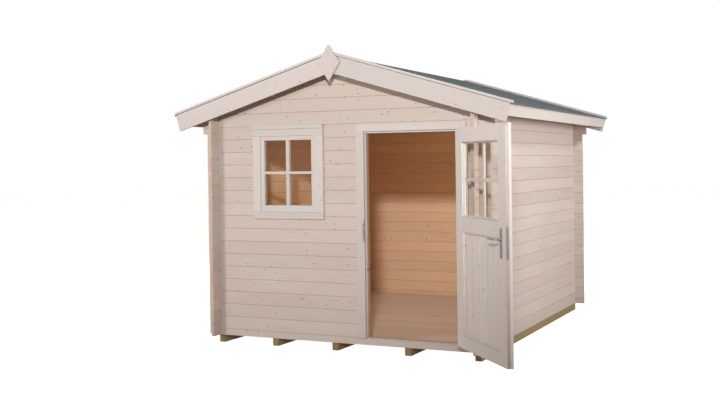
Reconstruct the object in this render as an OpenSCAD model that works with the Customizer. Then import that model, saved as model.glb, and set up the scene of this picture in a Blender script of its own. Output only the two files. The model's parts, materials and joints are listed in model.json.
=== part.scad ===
// Garden house of machined spruce logs: crossed corners, low gable roof, one door and one window.
// Frame: X runs to the right along the front, Y to the back, Z up. The origin is on the ground,
// under the middle foundation beam, halfway from the front wall to the back wall.
// The modules below are drawn about the middle of the house, and from_origin() moves them there.

/* [House] */
// Width over the outer faces of the side walls
house_w = 2600; // [2400:10:4000]
// Depth over the outer faces of the front and back walls
house_d = 2600; // [2000:10:4000]
// Thickness of a wall log
log_t = 28; // [24:1:45]
// Height of one log course
course_h = 114; // [100:1:130]
// Depth of the V between two courses, on each face
groove_d = 3.5; // [1:0.5:6]
// Courses over the door, up to the foot of the eave log
courses_over_door = 1; // [1:1:4]
// Height of the eave log on its outer face
eave_log_h = 136; // [120:1:160]
// How far the log ends run past the crossed corners
head_len = 100; // [60:5:160]
// How much further the ends under the eaves reach
corbel_len = 45; // [20:5:80]

/* [Foundation and floor] */
// Height of a foundation beam
beam_h = 70; // [45:1:120]
// Width of a foundation beam
beam_w = 60; // [40:1:100]
// Distance from the walls' outer faces back to the beam ends
beam_setback = 10; // [0:5:60]
// Places of the beams between the outer two, left to right from the middle
inner_beams = [-690, -75, 630]; // [-1100:5:1100]
// Thickness of the floor boards
floor_t = 18; // [14:1:28]
// Gap between the floor boards and the walls
floor_gap = 6; // [2:1:15]

/* [Roof] */
// Pitch of the roof in degrees
roof_pitch = 16; // [10:1:25]
// Thickness of the roof boards
deck_t = 16; // [14:1:28]
// Thickness of the roofing felt
felt_t = 3; // [2:0.5:6]
// How far the felt hangs past the bargeboards' ends
felt_lip = 14; // [4:1:40]
// How far the felt's edge turns down at the eaves
felt_drip = 10; // [5:1:30]
// Roof past each side wall, to the ends of the bargeboards
eave_overhang = 325; // [200:5:600]
// Roof past the front wall, to the face of the bargeboards
front_overhang = 140; // [130:5:400]
// Roof past the back wall, to the face of the bargeboards
back_overhang = 120; // [120:5:400]
// Thickness of bargeboards, eave boards and gable plates
trim_t = 18; // [14:1:28]
// Height of a bargeboard, square to the slope
bargeboard_h = 150; // [100:5:200]
// Height of an eave board, square to the slope
eave_board_h = 104; // [60:2:140]
// Thickness of the cap strips along the gables
cap_t = 20; // [12:1:30]
// Width of the cap strips
cap_w = 62; // [40:2:90]
// How far the cap strips stand out past the bargeboards
cap_lip = 9; // [3:1:20]
// Height of the diamond plate on each gable
plate_h = 310; // [200:5:420]
// Width of the diamond plate
plate_w = 212; // [140:2:300]
// Middle of the diamond plate below the peak of the roof boards' underside
plate_drop = 57; // [30:1:120]
// Width of the ridge purlin
ridge_purlin_w = 58; // [40:1:90]
// Height of the ridge purlin
ridge_purlin_h = 150; // [100:5:200]
// Width of the side purlins
side_purlin_w = 44; // [30:1:70]
// Height of the side purlins
side_purlin_h = 120; // [90:5:160]

/* [Doorway] */
// Distance from the door casing to the outer face of the right wall
door_from_corner = 109; // [60:1:400]
// Width over the door casings
door_w = 1023; // [900:1:1100]
// Height of the door casing above the foot log
door_h = 1810; // [1750:1:1815]
// Width of the upright casing on the latch side
casing_w = 75; // [50:1:100]
// Width of the upright casing on the hinge side
hinge_casing_w = 45; // [42:1:80]
// Height of the casing over the door
head_casing_h = 58; // [45:1:90]
// Thickness of a casing board
casing_t = 16; // [12:1:24]
// How far the casings lap over the logs
casing_lap = 22; // [10:1:40]
// How far the frame's stop shows past the casing
stop_w = 15; // [8:1:25]
// Thickness of the threshold strip on the foot log
threshold_t = 6; // [3:1:12]
// How far the door stands open
door_open = 138; // [0:0.5:150]

/* [Door leaf] */
// Thickness of the outer layer, which laps over the casings
lip_t = 22; // [16:1:28]
// Thickness of the inner layer, between the casings
core_t = 20; // [16:1:28]
// Clearance behind each layer, on the hinge side and over the threshold
leaf_gap = 5; // [4:0.5:8]
// Clearance on the latch side, where the leaf swings past the frame, and at the top
latch_gap = 7; // [6.5:0.5:12]
// How far the outer layer laps over each casing
leaf_lap = 10; // [5:1:20]
// Width of the stiles
stile_w = 138; // [90:1:150]
// Height of the top rail
top_rail_h = 122; // [80:1:160]
// Height of the bottom rail
bottom_rail_h = 102; // [80:1:160]
// Height of the middle rail
mid_rail_h = 118; // [90:1:160]
// Height of the glazed opening
leaf_glass_h = 586; // [400:2:800]
// Depth of the rim that holds glass and panel on the outside
rim_t = 7; // [4:0.5:10]
// Width of that rim
rim_w = 10; // [5:1:18]
// Thickness of the glass
glass_t = 4; // [3:0.5:6]
// Thickness of the boards in the lower panel
panel_t = 14; // [9:1:18]
// Number of boards in the lower panel
panel_boards = 7; // [4:1:10]

/* [Door fittings] */
// Height of the lever above the foot of the leaf
lever_z = 917; // [850:1:1050]
// Distance from the edge of the inner layer to the lever's spindle
backset = 80; // [45:1:85]
// Length of the lever, from the spindle to its tip
lever_len = 118; // [90:1:140]
// Distance from the plate to the middle of the lever
lever_stand = 44; // [38:1:60]
// Radius of the lever bar
lever_r = 7.5; // [6:0.5:10]
// Radius of the spindle
spindle_r = 4.5; // [4:0.5:6]
// Length of the handle plates
handle_plate_h = 220; // [180:2:260]
// How far a handle plate reaches above the lever
handle_plate_above = 80; // [50:1:110]
// Width of the handle plates
handle_plate_w = 38; // [30:1:48]
// Length of the lock's face plate
face_plate_h = 235; // [200:1:260]
// Middle of the face plate below the lever
face_plate_drop = 25; // [0:1:40]
// Distance from the spindle down to the keyhole
key_drop = 72; // [65:1:92]
// Length of the strike plate
strike_h = 172; // [140:2:200]
// How far the strike plate reaches above the latch
strike_above = 50; // [30:1:80]
// Distance from the top and foot of the leaf to the middle of each hinge
hinge_inset = 230; // [150:5:320]
// Length of one knuckle of a hinge
knuckle_h = 38; // [25:1:50]
// Radius of a hinge knuckle
knuckle_r = 6.5; // [5:0.5:8]

/* [Window] */
// How far the window stands right of the middle of its wall
window_shift = 41; // [-100:1:100]
// Width over the window casing
window_w = 728; // [600:2:800]
// Height over the window casing
window_h = 790; // [600:2:900]
// Top of the window casing below the top of the door casing
window_drop = 17; // [-10:1:200]
// Width of the casing over and under the window
window_casing_w = 60; // [45:1:80]
// Width of the casing on each side of the window
window_upright_w = 78; // [45:1:90]
// Width of the sash's stiles
sash_stile_w = 42; // [30:1:70]
// Height of the sash's top rail
sash_top_w = 38; // [30:1:70]
// Height of the sash's bottom rail
sash_foot_w = 60; // [30:1:80]
// Depth of the sash
sash_t = 36; // [24:1:50]
// Height of the drip board over the window
drip_h = 34; // [16:1:60]
// How far the drip board stands out past the casing
drip_out = 8; // [4:1:20]

/* [Hidden] */

seat = 0.3;
half_seat = seat / 2;
pin_gap = 0.08;
cut = 1;
round_fn = 32;
plate_fn = 48;

spruce = [0.86, 0.78, 0.67];
planed = [0.88, 0.84, 0.80];
treated = [0.58, 0.52, 0.36];
slate = [0.36, 0.42, 0.44];
steel = [0.70, 0.71, 0.72];
pane = [0.75, 0.82, 0.84];

foot_z = beam_h;
half_w = house_w / 2;
half_d = house_d / 2;
half_course = course_h / 2;
quarter_course = course_h / 4;
inner_x = half_w - log_t;
inner_y = half_d - log_t;
head_x = half_w + head_len;
head_y = half_d + head_len;
front_courses = ceil(door_h / course_h);
side_courses = front_courses + courses_over_door;
eave_z = foot_z + side_courses * course_h + eave_log_h;
ridge_z = eave_z + half_w * tan(roof_pitch);
side_top = eave_z + log_t * tan(roof_pitch) + cut;
gable_z = foot_z + half_course + front_courses * course_h;
door_top = foot_z + half_course + door_h;
corbel_z = foot_z + (side_courses - 1) * course_h;

slope_len = (half_w + eave_overhang) / cos(roof_pitch);
side_purlin_x = half_w / 2;
eave_gap = 2;
cap_end = 6;
deck_len = slope_len - trim_t - eave_gap;
felt_top = deck_t + seat + felt_t;
front_y = -half_d - front_overhang;
back_y = half_d + back_overhang;
deck_front = front_y + trim_t + seat;
deck_back = back_y - trim_t - seat;

door_foot = foot_z + half_course;
head_lap = 17;
sash_inset = 6;
door_right = half_w - door_from_corner;
door_left = door_right - door_w;
hole_left = door_left + casing_lap;
hole_right = door_right - casing_lap;
hole_top = door_top - head_lap;
clear_left = door_left + casing_w;
clear_right = door_right - hinge_casing_w;
clear_top = door_top - head_casing_h;
stop_left = clear_left + stop_w;
stop_right = clear_right - stop_w;
stop_top = clear_top - stop_w;
casing_y = -half_d - casing_t;
lining_y = -inner_y + casing_t;
keep_depth = 9;
keep_half_h = 14;
strike_t = 2;
strike_front_w = 20;

lip_y = casing_y - leaf_gap;
leaf_y = lip_y - lip_t;
core_y = lip_y + core_t;
stop_y = core_y + leaf_gap;
core_left = clear_left + latch_gap;
core_right = clear_right - leaf_gap;
core_top = clear_top - latch_gap;
lip_left = clear_left - leaf_lap;
lip_right = clear_right + leaf_lap;
lip_top = clear_top + leaf_lap;
lip_foot = door_foot + threshold_t + leaf_gap;
field_left = lip_left + stile_w;
field_right = lip_right - stile_w;
glass_top = lip_top - top_rail_h;
glass_foot = glass_top - leaf_glass_h;
panel_top = glass_foot - mid_rail_h;
panel_foot = lip_foot + bottom_rail_h;

hinge_x = lip_right + leaf_gap / 2;
knuckle_stand = 1.5;
hinge_y = leaf_y - knuckle_r - knuckle_stand;
hinge_plate_t = 2.5;
hinge_web_t = 3;
hinge_pin_r = 3.5;
leaf_plate_w = 46;
frame_plate_w = 26;
spindle_x = core_left + backset;
spindle_z = lip_foot + lever_z;
handle_plate_t = 2.5;
face_plate_t = 3;
face_plate_w = 16;
lock_case_w = 12;
lock_case_h = 150;
lock_case_d = backset + 20;
lock_y = lip_y + core_t / 2;
latch_r = 6;
latch_out = 8;
latch_lift = 16;
spindle_room = 2;
fixing_r = 3.5;
fixing_above = 24;
fixing_below = 46;
key_bore_r = 4;
key_slot_w = 3;
key_slot_h = 14;

window_left = (door_left - half_w - window_w) / 2 + window_shift;
window_right = window_left + window_w;
window_top = door_top - window_drop;
window_foot = window_top - window_h;
sash_left = window_left + window_upright_w + seat;
sash_right = window_right - window_upright_w - seat;
sash_foot = window_foot + window_casing_w + seat;
sash_top = window_top - window_casing_w - seat;
sash_y = casing_y + sash_inset;
pane_left = sash_left + sash_stile_w;
pane_right = sash_right - sash_stile_w;
pane_foot = sash_foot + sash_foot_w;
pane_top = sash_top - sash_top_w;

function roof_under(x) = ridge_z - abs(x) * tan(roof_pitch);

// From the middle of the house to the origin under the middle beam
module from_origin() {
    translate([-inner_beams[1], 0, 0]) children();
}

// A block between two corners
module block(from, to) {
    translate(from) cube(to - from);
}

// Points of one face of a stack of logs, from z0 up to z1, with a V at each joint
function face_points(face, inward, z0, z1, first_joint, last_joint) = [
    if (!is_joint(z0, first_joint, last_joint)) [face, z0],
    for (z = [first_joint : course_h : min(last_joint, z1) + 0.01])
        if (z > z0 - 0.01)
            each [
                if (z > z0 + groove_d) [face, z - groove_d],
                [face + inward * groove_d, z],
                if (z < z1 - groove_d) [face, z + groove_d]
            ],
    if (!is_joint(z1, first_joint, last_joint)) [face, z1]
];

function is_joint(z, first_joint, last_joint) =
    let (courses = (z - first_joint) / course_h)
    z > first_joint - 0.01 && z < last_joint + 0.01 && abs(courses - round(courses)) < 0.001;

function reversed(points) = [for (i = [len(points) - 1 : -1 : 0]) points[i]];

// Section of a log wall: outer face at outer, inner face log_t further in the way of inward
module log_section(outer, inward, z0, z1, first_joint, last_joint) {
    polygon(concat(
        face_points(outer, inward, z0, z1, first_joint, last_joint),
        reversed(face_points(outer + inward * log_t, -inward, z0, z1, first_joint, last_joint))
    ));
}

// Logs along X whose outer face is at y
module logs_along_x(x0, x1, y, inward, z0, z1) {
    translate([x0, 0, 0])
        rotate([90, 0, 90])
            linear_extrude(x1 - x0) log_section(y, inward, z0, z1, foot_z + half_course, ridge_z);
}

// Logs along Y whose outer face is at x
module logs_along_y(y0, y1, x, inward, z0, z1) {
    translate([0, y1, 0])
        rotate([90, 0, 0])
            linear_extrude(y1 - y0)
                log_section(x, inward, z0, z1, foot_z + course_h, foot_z + side_courses * course_h);
}

// Notches in the front and back walls, where the side walls' logs cross them
module side_log_notches(y0, y1) {
    for (side = [-1, 1], k = [0 : side_courses])
        translate([
            side * (half_w - log_t / 2) - log_t / 2 - half_seat,
            y0,
            foot_z + k * course_h + quarter_course - half_seat
        ])
            cube([log_t + seat, y1 - y0, half_course + seat]);
}

// Notches in the side walls, where the front and back walls' logs cross them
module end_log_notches(x0, x1) {
    for (end = [-1, 1], k = [0 : side_courses + 1])
        translate([
            x0,
            end * (half_d - log_t / 2) - log_t / 2 - half_seat,
            foot_z + k * course_h - quarter_course - half_seat
        ])
            cube([x1 - x0, log_t + seat, half_course + seat + (k > side_courses ? course_h : 0)]);
}

// The space under the roof boards
module under_roof(depth) {
    reach = 1.2 * half_w;
    rotate([90, 0, 0])
        linear_extrude(2 * depth, center = true)
            polygon([
                [-reach, foot_z - cut],
                [reach, foot_z - cut],
                [reach, roof_under(reach) - seat],
                [0, ridge_z - seat],
                [-reach, roof_under(reach) - seat]
            ]);
}

// Room for the purlins in a gable
module purlin_notches(y0, y1) {
    for (x = [-side_purlin_x, side_purlin_x])
        block(
            [x - side_purlin_w / 2 - half_seat, y0, purlin_foot(x, side_purlin_h) - half_seat],
            [x + side_purlin_w / 2 + half_seat, y1, ridge_z]
        );
    block(
        [-ridge_purlin_w / 2 - half_seat, y0, ridge_z - ridge_purlin_h - half_seat],
        [ridge_purlin_w / 2 + half_seat, y1, ridge_z + cut]
    );
}

function purlin_foot(x, height) = roof_under(x) - height;

// A longer log end under each eave
module corbels(y0, y1) {
    for (side = [-1, 1])
        translate([side * (head_x + corbel_len / 2) - corbel_len / 2 - half_seat, y0, corbel_z])
            cube([corbel_len + seat, y1 - y0, course_h]);
}

module end_wall_blank(y, inward, z0, z1) {
    logs_along_x(-head_x, head_x, y, inward, z0, z1);
}

module foundation_beam(i) {
    outer = half_w - beam_w / 2;
    places = concat([-outer], inner_beams, [outer]);
    end_y = half_d - beam_setback;
    color(treated)
        block([places[i] - beam_w / 2, -end_y, 0], [places[i] + beam_w / 2, end_y, beam_h]);
}

module floor_boards() {
    x = inner_x - floor_gap;
    y = inner_y - floor_gap;
    color(spruce) block([-x, -y, foot_z], [x, y, foot_z + floor_t]);
}

module front_foot_log() {
    color(spruce)
        difference() {
            end_wall_blank(-half_d, 1, foot_z, door_foot);
            side_log_notches(-half_d - cut, -inner_y + cut);
        }
}

module window_hole() {
    block(
        [window_left + casing_lap, -half_d - cut, window_foot + casing_lap],
        [window_right - casing_lap, -inner_y + cut, window_top - casing_lap]
    );
}

module front_wall_left() {
    color(spruce)
        difference() {
            union() {
                logs_along_x(-head_x, hole_left - seat, -half_d, 1, door_foot, gable_z);
                intersection() {
                    corbels(-half_d, -inner_y);
                    block([-half_w * 2, -half_d, corbel_z], [0, -inner_y, gable_z]);
                }
            }
            side_log_notches(-half_d - cut, -inner_y + cut);
            window_hole();
        }
}

module front_wall_right() {
    color(spruce)
        difference() {
            union() {
                logs_along_x(hole_right + seat, head_x, -half_d, 1, door_foot, gable_z);
                intersection() {
                    corbels(-half_d, -inner_y);
                    block([0, -half_d, corbel_z], [half_w * 2, -inner_y, gable_z]);
                }
            }
            side_log_notches(-half_d - cut, -inner_y + cut);
        }
}

module front_gable() {
    color(spruce)
        intersection() {
            difference() {
                union() {
                    end_wall_blank(-half_d, 1, gable_z, ridge_z);
                    intersection() {
                        corbels(-half_d, -inner_y);
                        block([-half_w * 2, -half_d, gable_z], [half_w * 2, -inner_y, ridge_z]);
                    }
                    block(
                        [hole_left + seat, -half_d, hole_top + seat],
                        [hole_right - seat, -inner_y, gable_z]
                    );
                }
                side_log_notches(-half_d - cut, -inner_y + cut);
                purlin_notches(-half_d - cut, -inner_y + cut);
            }
            under_roof(head_y);
        }
}

module back_wall() {
    color(spruce)
        intersection() {
            difference() {
                union() {
                    end_wall_blank(half_d, -1, foot_z, ridge_z);
                    corbels(inner_y, half_d);
                }
                side_log_notches(inner_y - cut, half_d + cut);
                purlin_notches(inner_y - cut, half_d + cut);
            }
            under_roof(head_y);
        }
}

module side_wall(side) {
    x0 = side > 0 ? inner_x : -half_w;
    color(spruce)
        intersection() {
            difference() {
                logs_along_y(-head_y, head_y, side * half_w, -side, foot_z, side_top);
                end_log_notches(x0 - cut, x0 + log_t + cut);
            }
            under_roof(head_y + cut);
        }
}

// A purlin whose top follows the slopes, from one gable's bargeboards to the other's
module purlin(x, width, height) {
    x0 = x - width / 2;
    x1 = x + width / 2;
    foot = purlin_foot(x, height);
    crown = x0 < 0 && x1 > 0 ? [[0, ridge_z - seat]] : [];
    color(spruce)
        translate([0, deck_back, 0])
            rotate([90, 0, 0])
                linear_extrude(deck_back - deck_front)
                    polygon(concat(
                        [[x0, foot], [x1, foot], [x1, roof_under(x1) - seat]],
                        crown,
                        [[x0, roof_under(x0) - seat]]
                    ));
}

module side_purlin(side) {
    purlin(side * side_purlin_x, side_purlin_w, side_purlin_h);
}

// Turns a section drawn along the right slope into a solid between y0 and y1.
// In the section, x runs down the slope from the ridge and y stands square to the boards.
module on_slope(side, y0, y1) {
    mirror([side < 0 ? 1 : 0, 0, 0])
        translate([0, y1, ridge_z])
            rotate([90, 0, 0])
                linear_extrude(y1 - y0)
                    rotate(-roof_pitch) children();
}

// Section of a strip from the ridge's mitre down to length, between two heights over the boards
module slope_strip(length, low, high) {
    lean = tan(roof_pitch);
    polygon([
        [half_seat - low * lean, low],
        [length, low],
        [length, high],
        [half_seat - high * lean, high]
    ]);
}

module roof_boards(side) {
    color(spruce) on_slope(side, deck_front, deck_back) slope_strip(deck_len, 0, deck_t);
}

module roofing_felt(side) {
    low = deck_t + seat;
    edge = slope_len + felt_lip;
    color(slate) {
        on_slope(side, front_y, back_y) slope_strip(edge, low, felt_top);
        on_slope(side, front_y, back_y)
            translate([edge - felt_t, felt_top - felt_drip])
                square([felt_t, felt_drip - felt_t / 2]);
    }
}

module eave_board(side) {
    color(planed)
        on_slope(side, deck_front, deck_back)
            translate([deck_len + seat, deck_t - eave_board_h]) square([trim_t, eave_board_h]);
}

module bargeboard(side, y0, y1) {
    color(planed) on_slope(side, y0, y1) slope_strip(slope_len, deck_t - bargeboard_h, deck_t);
}

// The diamond plate on the front gable, between y0 and y1
module gable_plate_blank(y0, y1, extra) {
    middle = ridge_z - plate_drop;
    translate([0, y1, middle])
        rotate([90, 0, 0])
            linear_extrude(y1 - y0)
                polygon([
                    [0, plate_h / 2 + extra],
                    [plate_w / 2 + extra, 0],
                    [0, -plate_h / 2 - extra],
                    [-plate_w / 2 - extra, 0]
                ]);
}

module cap_strip(side, y0, y1) {
    on_slope(side, y0, y1) slope_strip(slope_len + cap_end, felt_top + seat, felt_top + seat + cap_t);
}

module front_cap(side) {
    color(planed)
        difference() {
            cap_strip(side, front_y - cap_lip, front_y - cap_lip + cap_w);
            gable_plate_blank(front_y - trim_t - seat, front_y, seat);
        }
}

module back_cap(side) {
    color(planed) cap_strip(side, back_y + cap_lip - cap_w, back_y + cap_lip);
}

module front_gable_plate() {
    color(planed) gable_plate_blank(front_y - trim_t, front_y - seat, 0);
}

// Section of a jamb seen from above: a casing each side of the logs and a lining between them
module jamb_section(outer, clear, stop, hole) {
    toward = sign(clear - outer);
    polygon([
        [outer, casing_y],
        [clear, casing_y],
        [clear, stop_y],
        [stop, stop_y],
        [stop, lining_y],
        [outer, lining_y],
        [outer, -inner_y],
        [hole + toward * seat, -inner_y],
        [hole + toward * seat, -half_d],
        [outer, -half_d]
    ]);
}

module jamb_blank(outer, clear, stop, hole) {
    translate([0, 0, door_foot])
        linear_extrude(clear_top - seat - door_foot) jamb_section(outer, clear, stop, hole);
    block(
        [min(hole + sign(clear - outer) * seat, stop), -half_d, clear_top - seat - cut],
        [max(hole + sign(clear - outer) * seat, stop), -inner_y, hole_top]
    );
}

// The notch that the latch swings into
module latch_keep() {
    middle = spindle_z + latch_lift;
    block(
        [clear_left - keep_depth, casing_y - cut, middle - keep_half_h],
        [clear_left + cut, stop_y, middle + keep_half_h]
    );
}

module door_jamb_left() {
    color(planed)
        difference() {
            jamb_blank(door_left, clear_left, stop_left, hole_left);
            latch_keep();
            strike_blank(half_seat);
        }
}

module door_jamb_right() {
    color(planed) jamb_blank(door_right, clear_right, stop_right, hole_right);
}

module door_head() {
    color(planed) {
        block([door_left, casing_y, clear_top], [door_right, -half_d, door_top]);
        block([stop_left + seat, stop_y, stop_top], [stop_right - seat, lining_y, hole_top]);
        block([stop_left + seat, -half_d - cut, clear_top], [stop_right - seat, lining_y, hole_top]);
        block([door_left, -inner_y, clear_top], [door_right, lining_y, door_top]);
    }
}

module door_threshold() {
    color(planed)
        block(
            [stop_left + seat, -half_d, door_foot],
            [stop_right - seat, lining_y, door_foot + threshold_t]
        );
}

// Angled plate let into the corner of the left jamb
module strike_blank(extra) {
    z0 = spindle_z + latch_lift + strike_above - strike_h;
    block(
        [clear_left - strike_front_w - extra, casing_y - extra, z0 - extra],
        [clear_left + extra, casing_y + strike_t + extra, z0 + strike_h + extra]
    );
    block(
        [clear_left - strike_t - extra, casing_y - extra, z0 - extra],
        [clear_left + extra, -half_d + extra, z0 + strike_h + extra]
    );
}

module strike_plate() {
    color(steel)
        difference() {
            strike_blank(0);
            latch_keep();
        }
}

// Turns what is drawn on the shut door to where the open door stands
module swung() {
    translate([hinge_x, hinge_y, 0])
        rotate([0, 0, door_open])
            translate([-hinge_x, -hinge_y, 0]) children();
}

// A round bar along Y
module bar_y(x, z, y0, y1, radius) {
    translate([x, y1, z]) rotate([90, 0, 0]) cylinder(h = y1 - y0, r = radius, $fn = round_fn);
}

module leaf_field(z0, z1) {
    block(
        [field_left + rim_w, leaf_y - cut, z0 + rim_w],
        [field_right - rim_w, core_y + cut, z1 - rim_w]
    );
    block([field_left, leaf_y + rim_t, z0], [field_right, core_y + cut, z1]);
}

// A box round a middle height on the latch edge, grown by extra
module lock_block(x0, x1, width, height, extra) {
    middle = spindle_z - face_plate_drop;
    block(
        [x0 - extra, lock_y - width / 2 - extra, middle - height / 2 - extra],
        [x1 + extra, lock_y + width / 2 + extra, middle + height / 2 + extra]
    );
}

// The lock's case and the face plate let into the edge of the leaf
module lock_body(extra) {
    lock_block(core_left, core_left + face_plate_t, face_plate_w, face_plate_h, extra);
    lock_block(core_left + extra, core_left + lock_case_d, lock_case_w, lock_case_h, extra);
}

// The two through bolts of the handle plates
module plate_fixings(extra) {
    for (dz = [fixing_above, -fixing_below])
        bar_y(spindle_x, spindle_z + dz, leaf_y - cut, core_y + cut, fixing_r + extra);
}

module leaf_frame() {
    color(planed)
        swung() difference() {
            union() {
                block([lip_left, leaf_y, lip_foot], [lip_right, lip_y, lip_top]);
                block([core_left, lip_y - cut, lip_foot], [core_right, core_y, core_top]);
            }
            leaf_field(glass_foot, glass_top);
            leaf_field(panel_foot, panel_top);
            lock_body(seat);
            plate_fixings(seat);
            bar_y(spindle_x, spindle_z, leaf_y - cut, core_y + cut, spindle_r + spindle_room);
            keyhole(leaf_y - cut, core_y + cut, 1);
        }
}

module leaf_panel() {
    pitch = (field_right - field_left - 2 * seat) / panel_boards;
    x0 = field_left + seat;
    back = leaf_y + rim_t + seat;
    color(planed)
        swung()
            translate([0, 0, panel_foot + seat])
                linear_extrude(panel_top - panel_foot - 2 * seat)
                    polygon(concat(
                        [[x0, back]],
                        [[x0 + panel_boards * pitch, back]],
                        [[x0 + panel_boards * pitch, back + panel_t]],
                        [for (k = [panel_boards - 1 : -1 : 1])
                            each [
                                [x0 + k * pitch + groove_d, back + panel_t],
                                [x0 + k * pitch, back + panel_t - groove_d],
                                [x0 + k * pitch - groove_d, back + panel_t]
                            ]],
                        [[x0, back + panel_t]]
                    ));
}

module leaf_glass() {
    color(pane)
        swung()
            block(
                [field_left + seat, leaf_y + rim_t + seat, glass_foot + seat],
                [field_right - seat, leaf_y + rim_t + seat + glass_t, glass_top - seat]
            );
}

module keyhole(y0, y1, extra) {
    z = spindle_z - key_drop;
    half_slot = key_slot_w / 2 + extra;
    bar_y(spindle_x, z, y0, y1, key_bore_r + extra);
    block([spindle_x - half_slot, y0, z - key_slot_h - extra], [spindle_x + half_slot, y1, z]);
}

module handle_plate(y) {
    half = handle_plate_w / 2;
    z0 = spindle_z + handle_plate_above - handle_plate_h;
    translate([spindle_x, y + handle_plate_t, z0])
        rotate([90, 0, 0])
            linear_extrude(handle_plate_t) {
                translate([0, half]) circle(half, $fn = plate_fn);
                translate([-half, half]) square([handle_plate_w, handle_plate_h - 2 * half]);
                translate([0, handle_plate_h - half]) circle(half, $fn = plate_fn);
            }
}

module lock_set() {
    through = handle_plate_t + cut;
    color(steel)
        swung() difference() {
            union() {
                lock_body(0);
                plate_fixings(0);
                handle_plate(leaf_y - handle_plate_t);
                handle_plate(core_y);
                translate([core_left - latch_out, lock_y, spindle_z + latch_lift])
                    rotate([0, 90, 0]) cylinder(h = latch_out + cut, r = latch_r, $fn = round_fn);
            }
            bar_y(spindle_x, spindle_z, leaf_y - through, core_y + through, spindle_r + pin_gap);
            keyhole(leaf_y - through, core_y + through, 0);
        }
}

module lever_arm(y) {
    translate([spindle_x, y, spindle_z]) {
        sphere(lever_r, $fn = round_fn);
        rotate([0, 90, 0]) cylinder(h = lever_len - lever_r, r = lever_r, $fn = round_fn);
        translate([lever_len - lever_r, 0, 0]) sphere(lever_r, $fn = round_fn);
    }
}

module door_lever() {
    outer_y = leaf_y - handle_plate_t - lever_stand;
    inner_side = core_y + handle_plate_t + lever_stand;
    color(steel)
        swung() {
            bar_y(spindle_x, spindle_z, outer_y, inner_side, spindle_r);
            bar_y(spindle_x, spindle_z, outer_y, leaf_y - handle_plate_t - seat, lever_r);
            bar_y(spindle_x, spindle_z, core_y + handle_plate_t + seat, inner_side, lever_r);
            lever_arm(outer_y);
            lever_arm(inner_side);
        }
}

function hinge_z(upper) = upper ? lip_top - hinge_inset : lip_foot + hinge_inset;

// A round bar on the hinge axis, between two heights
module on_hinge_axis(z0, z1, radius) {
    translate([hinge_x, hinge_y, z0]) cylinder(h = z1 - z0, r = radius, $fn = round_fn);
}

// The half of a hinge that is screwed to the leaf: upper knuckle and plate
module leaf_hinge(upper) {
    z0 = hinge_z(upper) + half_seat;
    z1 = z0 + knuckle_h;
    color(steel)
        swung() difference() {
            union() {
                on_hinge_axis(z0, z1, knuckle_r);
                block([hinge_x - leaf_plate_w, leaf_y - hinge_plate_t, z0], [hinge_x, leaf_y, z1]);
                block([hinge_x - knuckle_r, hinge_y, z0], [hinge_x, leaf_y, z1]);
            }
            on_hinge_axis(z0 - cut, z1 + cut, hinge_pin_r + pin_gap);
        }
}

// The half that is screwed to the casing: lower knuckle, pin and bent plate
module frame_hinge(upper) {
    z1 = hinge_z(upper) - half_seat;
    z0 = z1 - knuckle_h;
    web_x = hinge_x + knuckle_r - hinge_web_t;
    color(steel) {
        on_hinge_axis(z0, z1, knuckle_r);
        on_hinge_axis(z1 - cut, z1 + knuckle_h, hinge_pin_r);
        block([web_x, hinge_y, z0], [web_x + hinge_web_t, casing_y, z1]);
        block([web_x, casing_y - hinge_plate_t, z0], [web_x + frame_plate_w, casing_y, z1]);
    }
}

// A frame in the front wall with uprights of one width and rails of another
module ring(x0, x1, z0, z1, y0, y1, upright, rail) {
    difference() {
        block([x0, y0, z0], [x1, y1, z1]);
        block([x0 + upright, y0 - cut, z0 + rail], [x1 - upright, y1 + cut, z1 - rail]);
    }
}

module window_casing() {
    lap = casing_lap + seat;
    color(planed) {
        ring(
            window_left, window_right, window_foot, window_top,
            casing_y, -half_d, window_upright_w, window_casing_w
        );
        ring(
            window_left + lap, window_right - lap, window_foot + lap, window_top - lap,
            -half_d - cut, lining_y, window_upright_w - lap, window_casing_w - lap
        );
        ring(
            window_left, window_right, window_foot, window_top,
            -inner_y, lining_y, window_upright_w, window_casing_w
        );
        block([window_left, casing_y - drip_out, window_top], [window_right, -half_d, window_top + drip_h]);
    }
}

module window_sash() {
    groove_y = sash_y + (sash_t - glass_t) / 2 - seat;
    color(planed)
        difference() {
            block([sash_left, sash_y, sash_foot], [sash_right, sash_y + sash_t, sash_top]);
            block([pane_left, sash_y - cut, pane_foot], [pane_right, sash_y + sash_t + cut, pane_top]);
            block(
                [pane_left - rim_w, groove_y, pane_foot - rim_w],
                [pane_right + rim_w, groove_y + glass_t + 2 * seat, pane_top + rim_w]
            );
        }
}

module window_glass() {
    front = sash_y + (sash_t - glass_t) / 2;
    edge = rim_w - seat;
    color(pane)
        block(
            [pane_left - edge, front, pane_foot - edge],
            [pane_right + edge, front + glass_t, pane_top + edge]
        );
}

from_origin() foundation_beam(0);  // foundation_beam_1
from_origin() foundation_beam(1);  // foundation_beam_2
from_origin() foundation_beam(2);  // foundation_beam_3
from_origin() foundation_beam(3);  // foundation_beam_4
from_origin() foundation_beam(4);  // foundation_beam_5
from_origin() floor_boards();  // floor
from_origin() front_foot_log();
from_origin() front_wall_left();
from_origin() front_wall_right();
from_origin() front_gable();
from_origin() back_wall();
from_origin() side_wall(-1);  // left_wall
from_origin() side_wall(1);  // right_wall
from_origin() purlin(0, ridge_purlin_w, ridge_purlin_h);  // ridge_purlin
from_origin() side_purlin(-1);  // left_purlin
from_origin() side_purlin(1);  // right_purlin
from_origin() roof_boards(-1);  // roof_boards_left
from_origin() roof_boards(1);  // roof_boards_right
from_origin() roofing_felt(-1);  // roofing_felt_left
from_origin() roofing_felt(1);  // roofing_felt_right
from_origin() eave_board(-1);  // eave_board_left
from_origin() eave_board(1);  // eave_board_right
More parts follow.
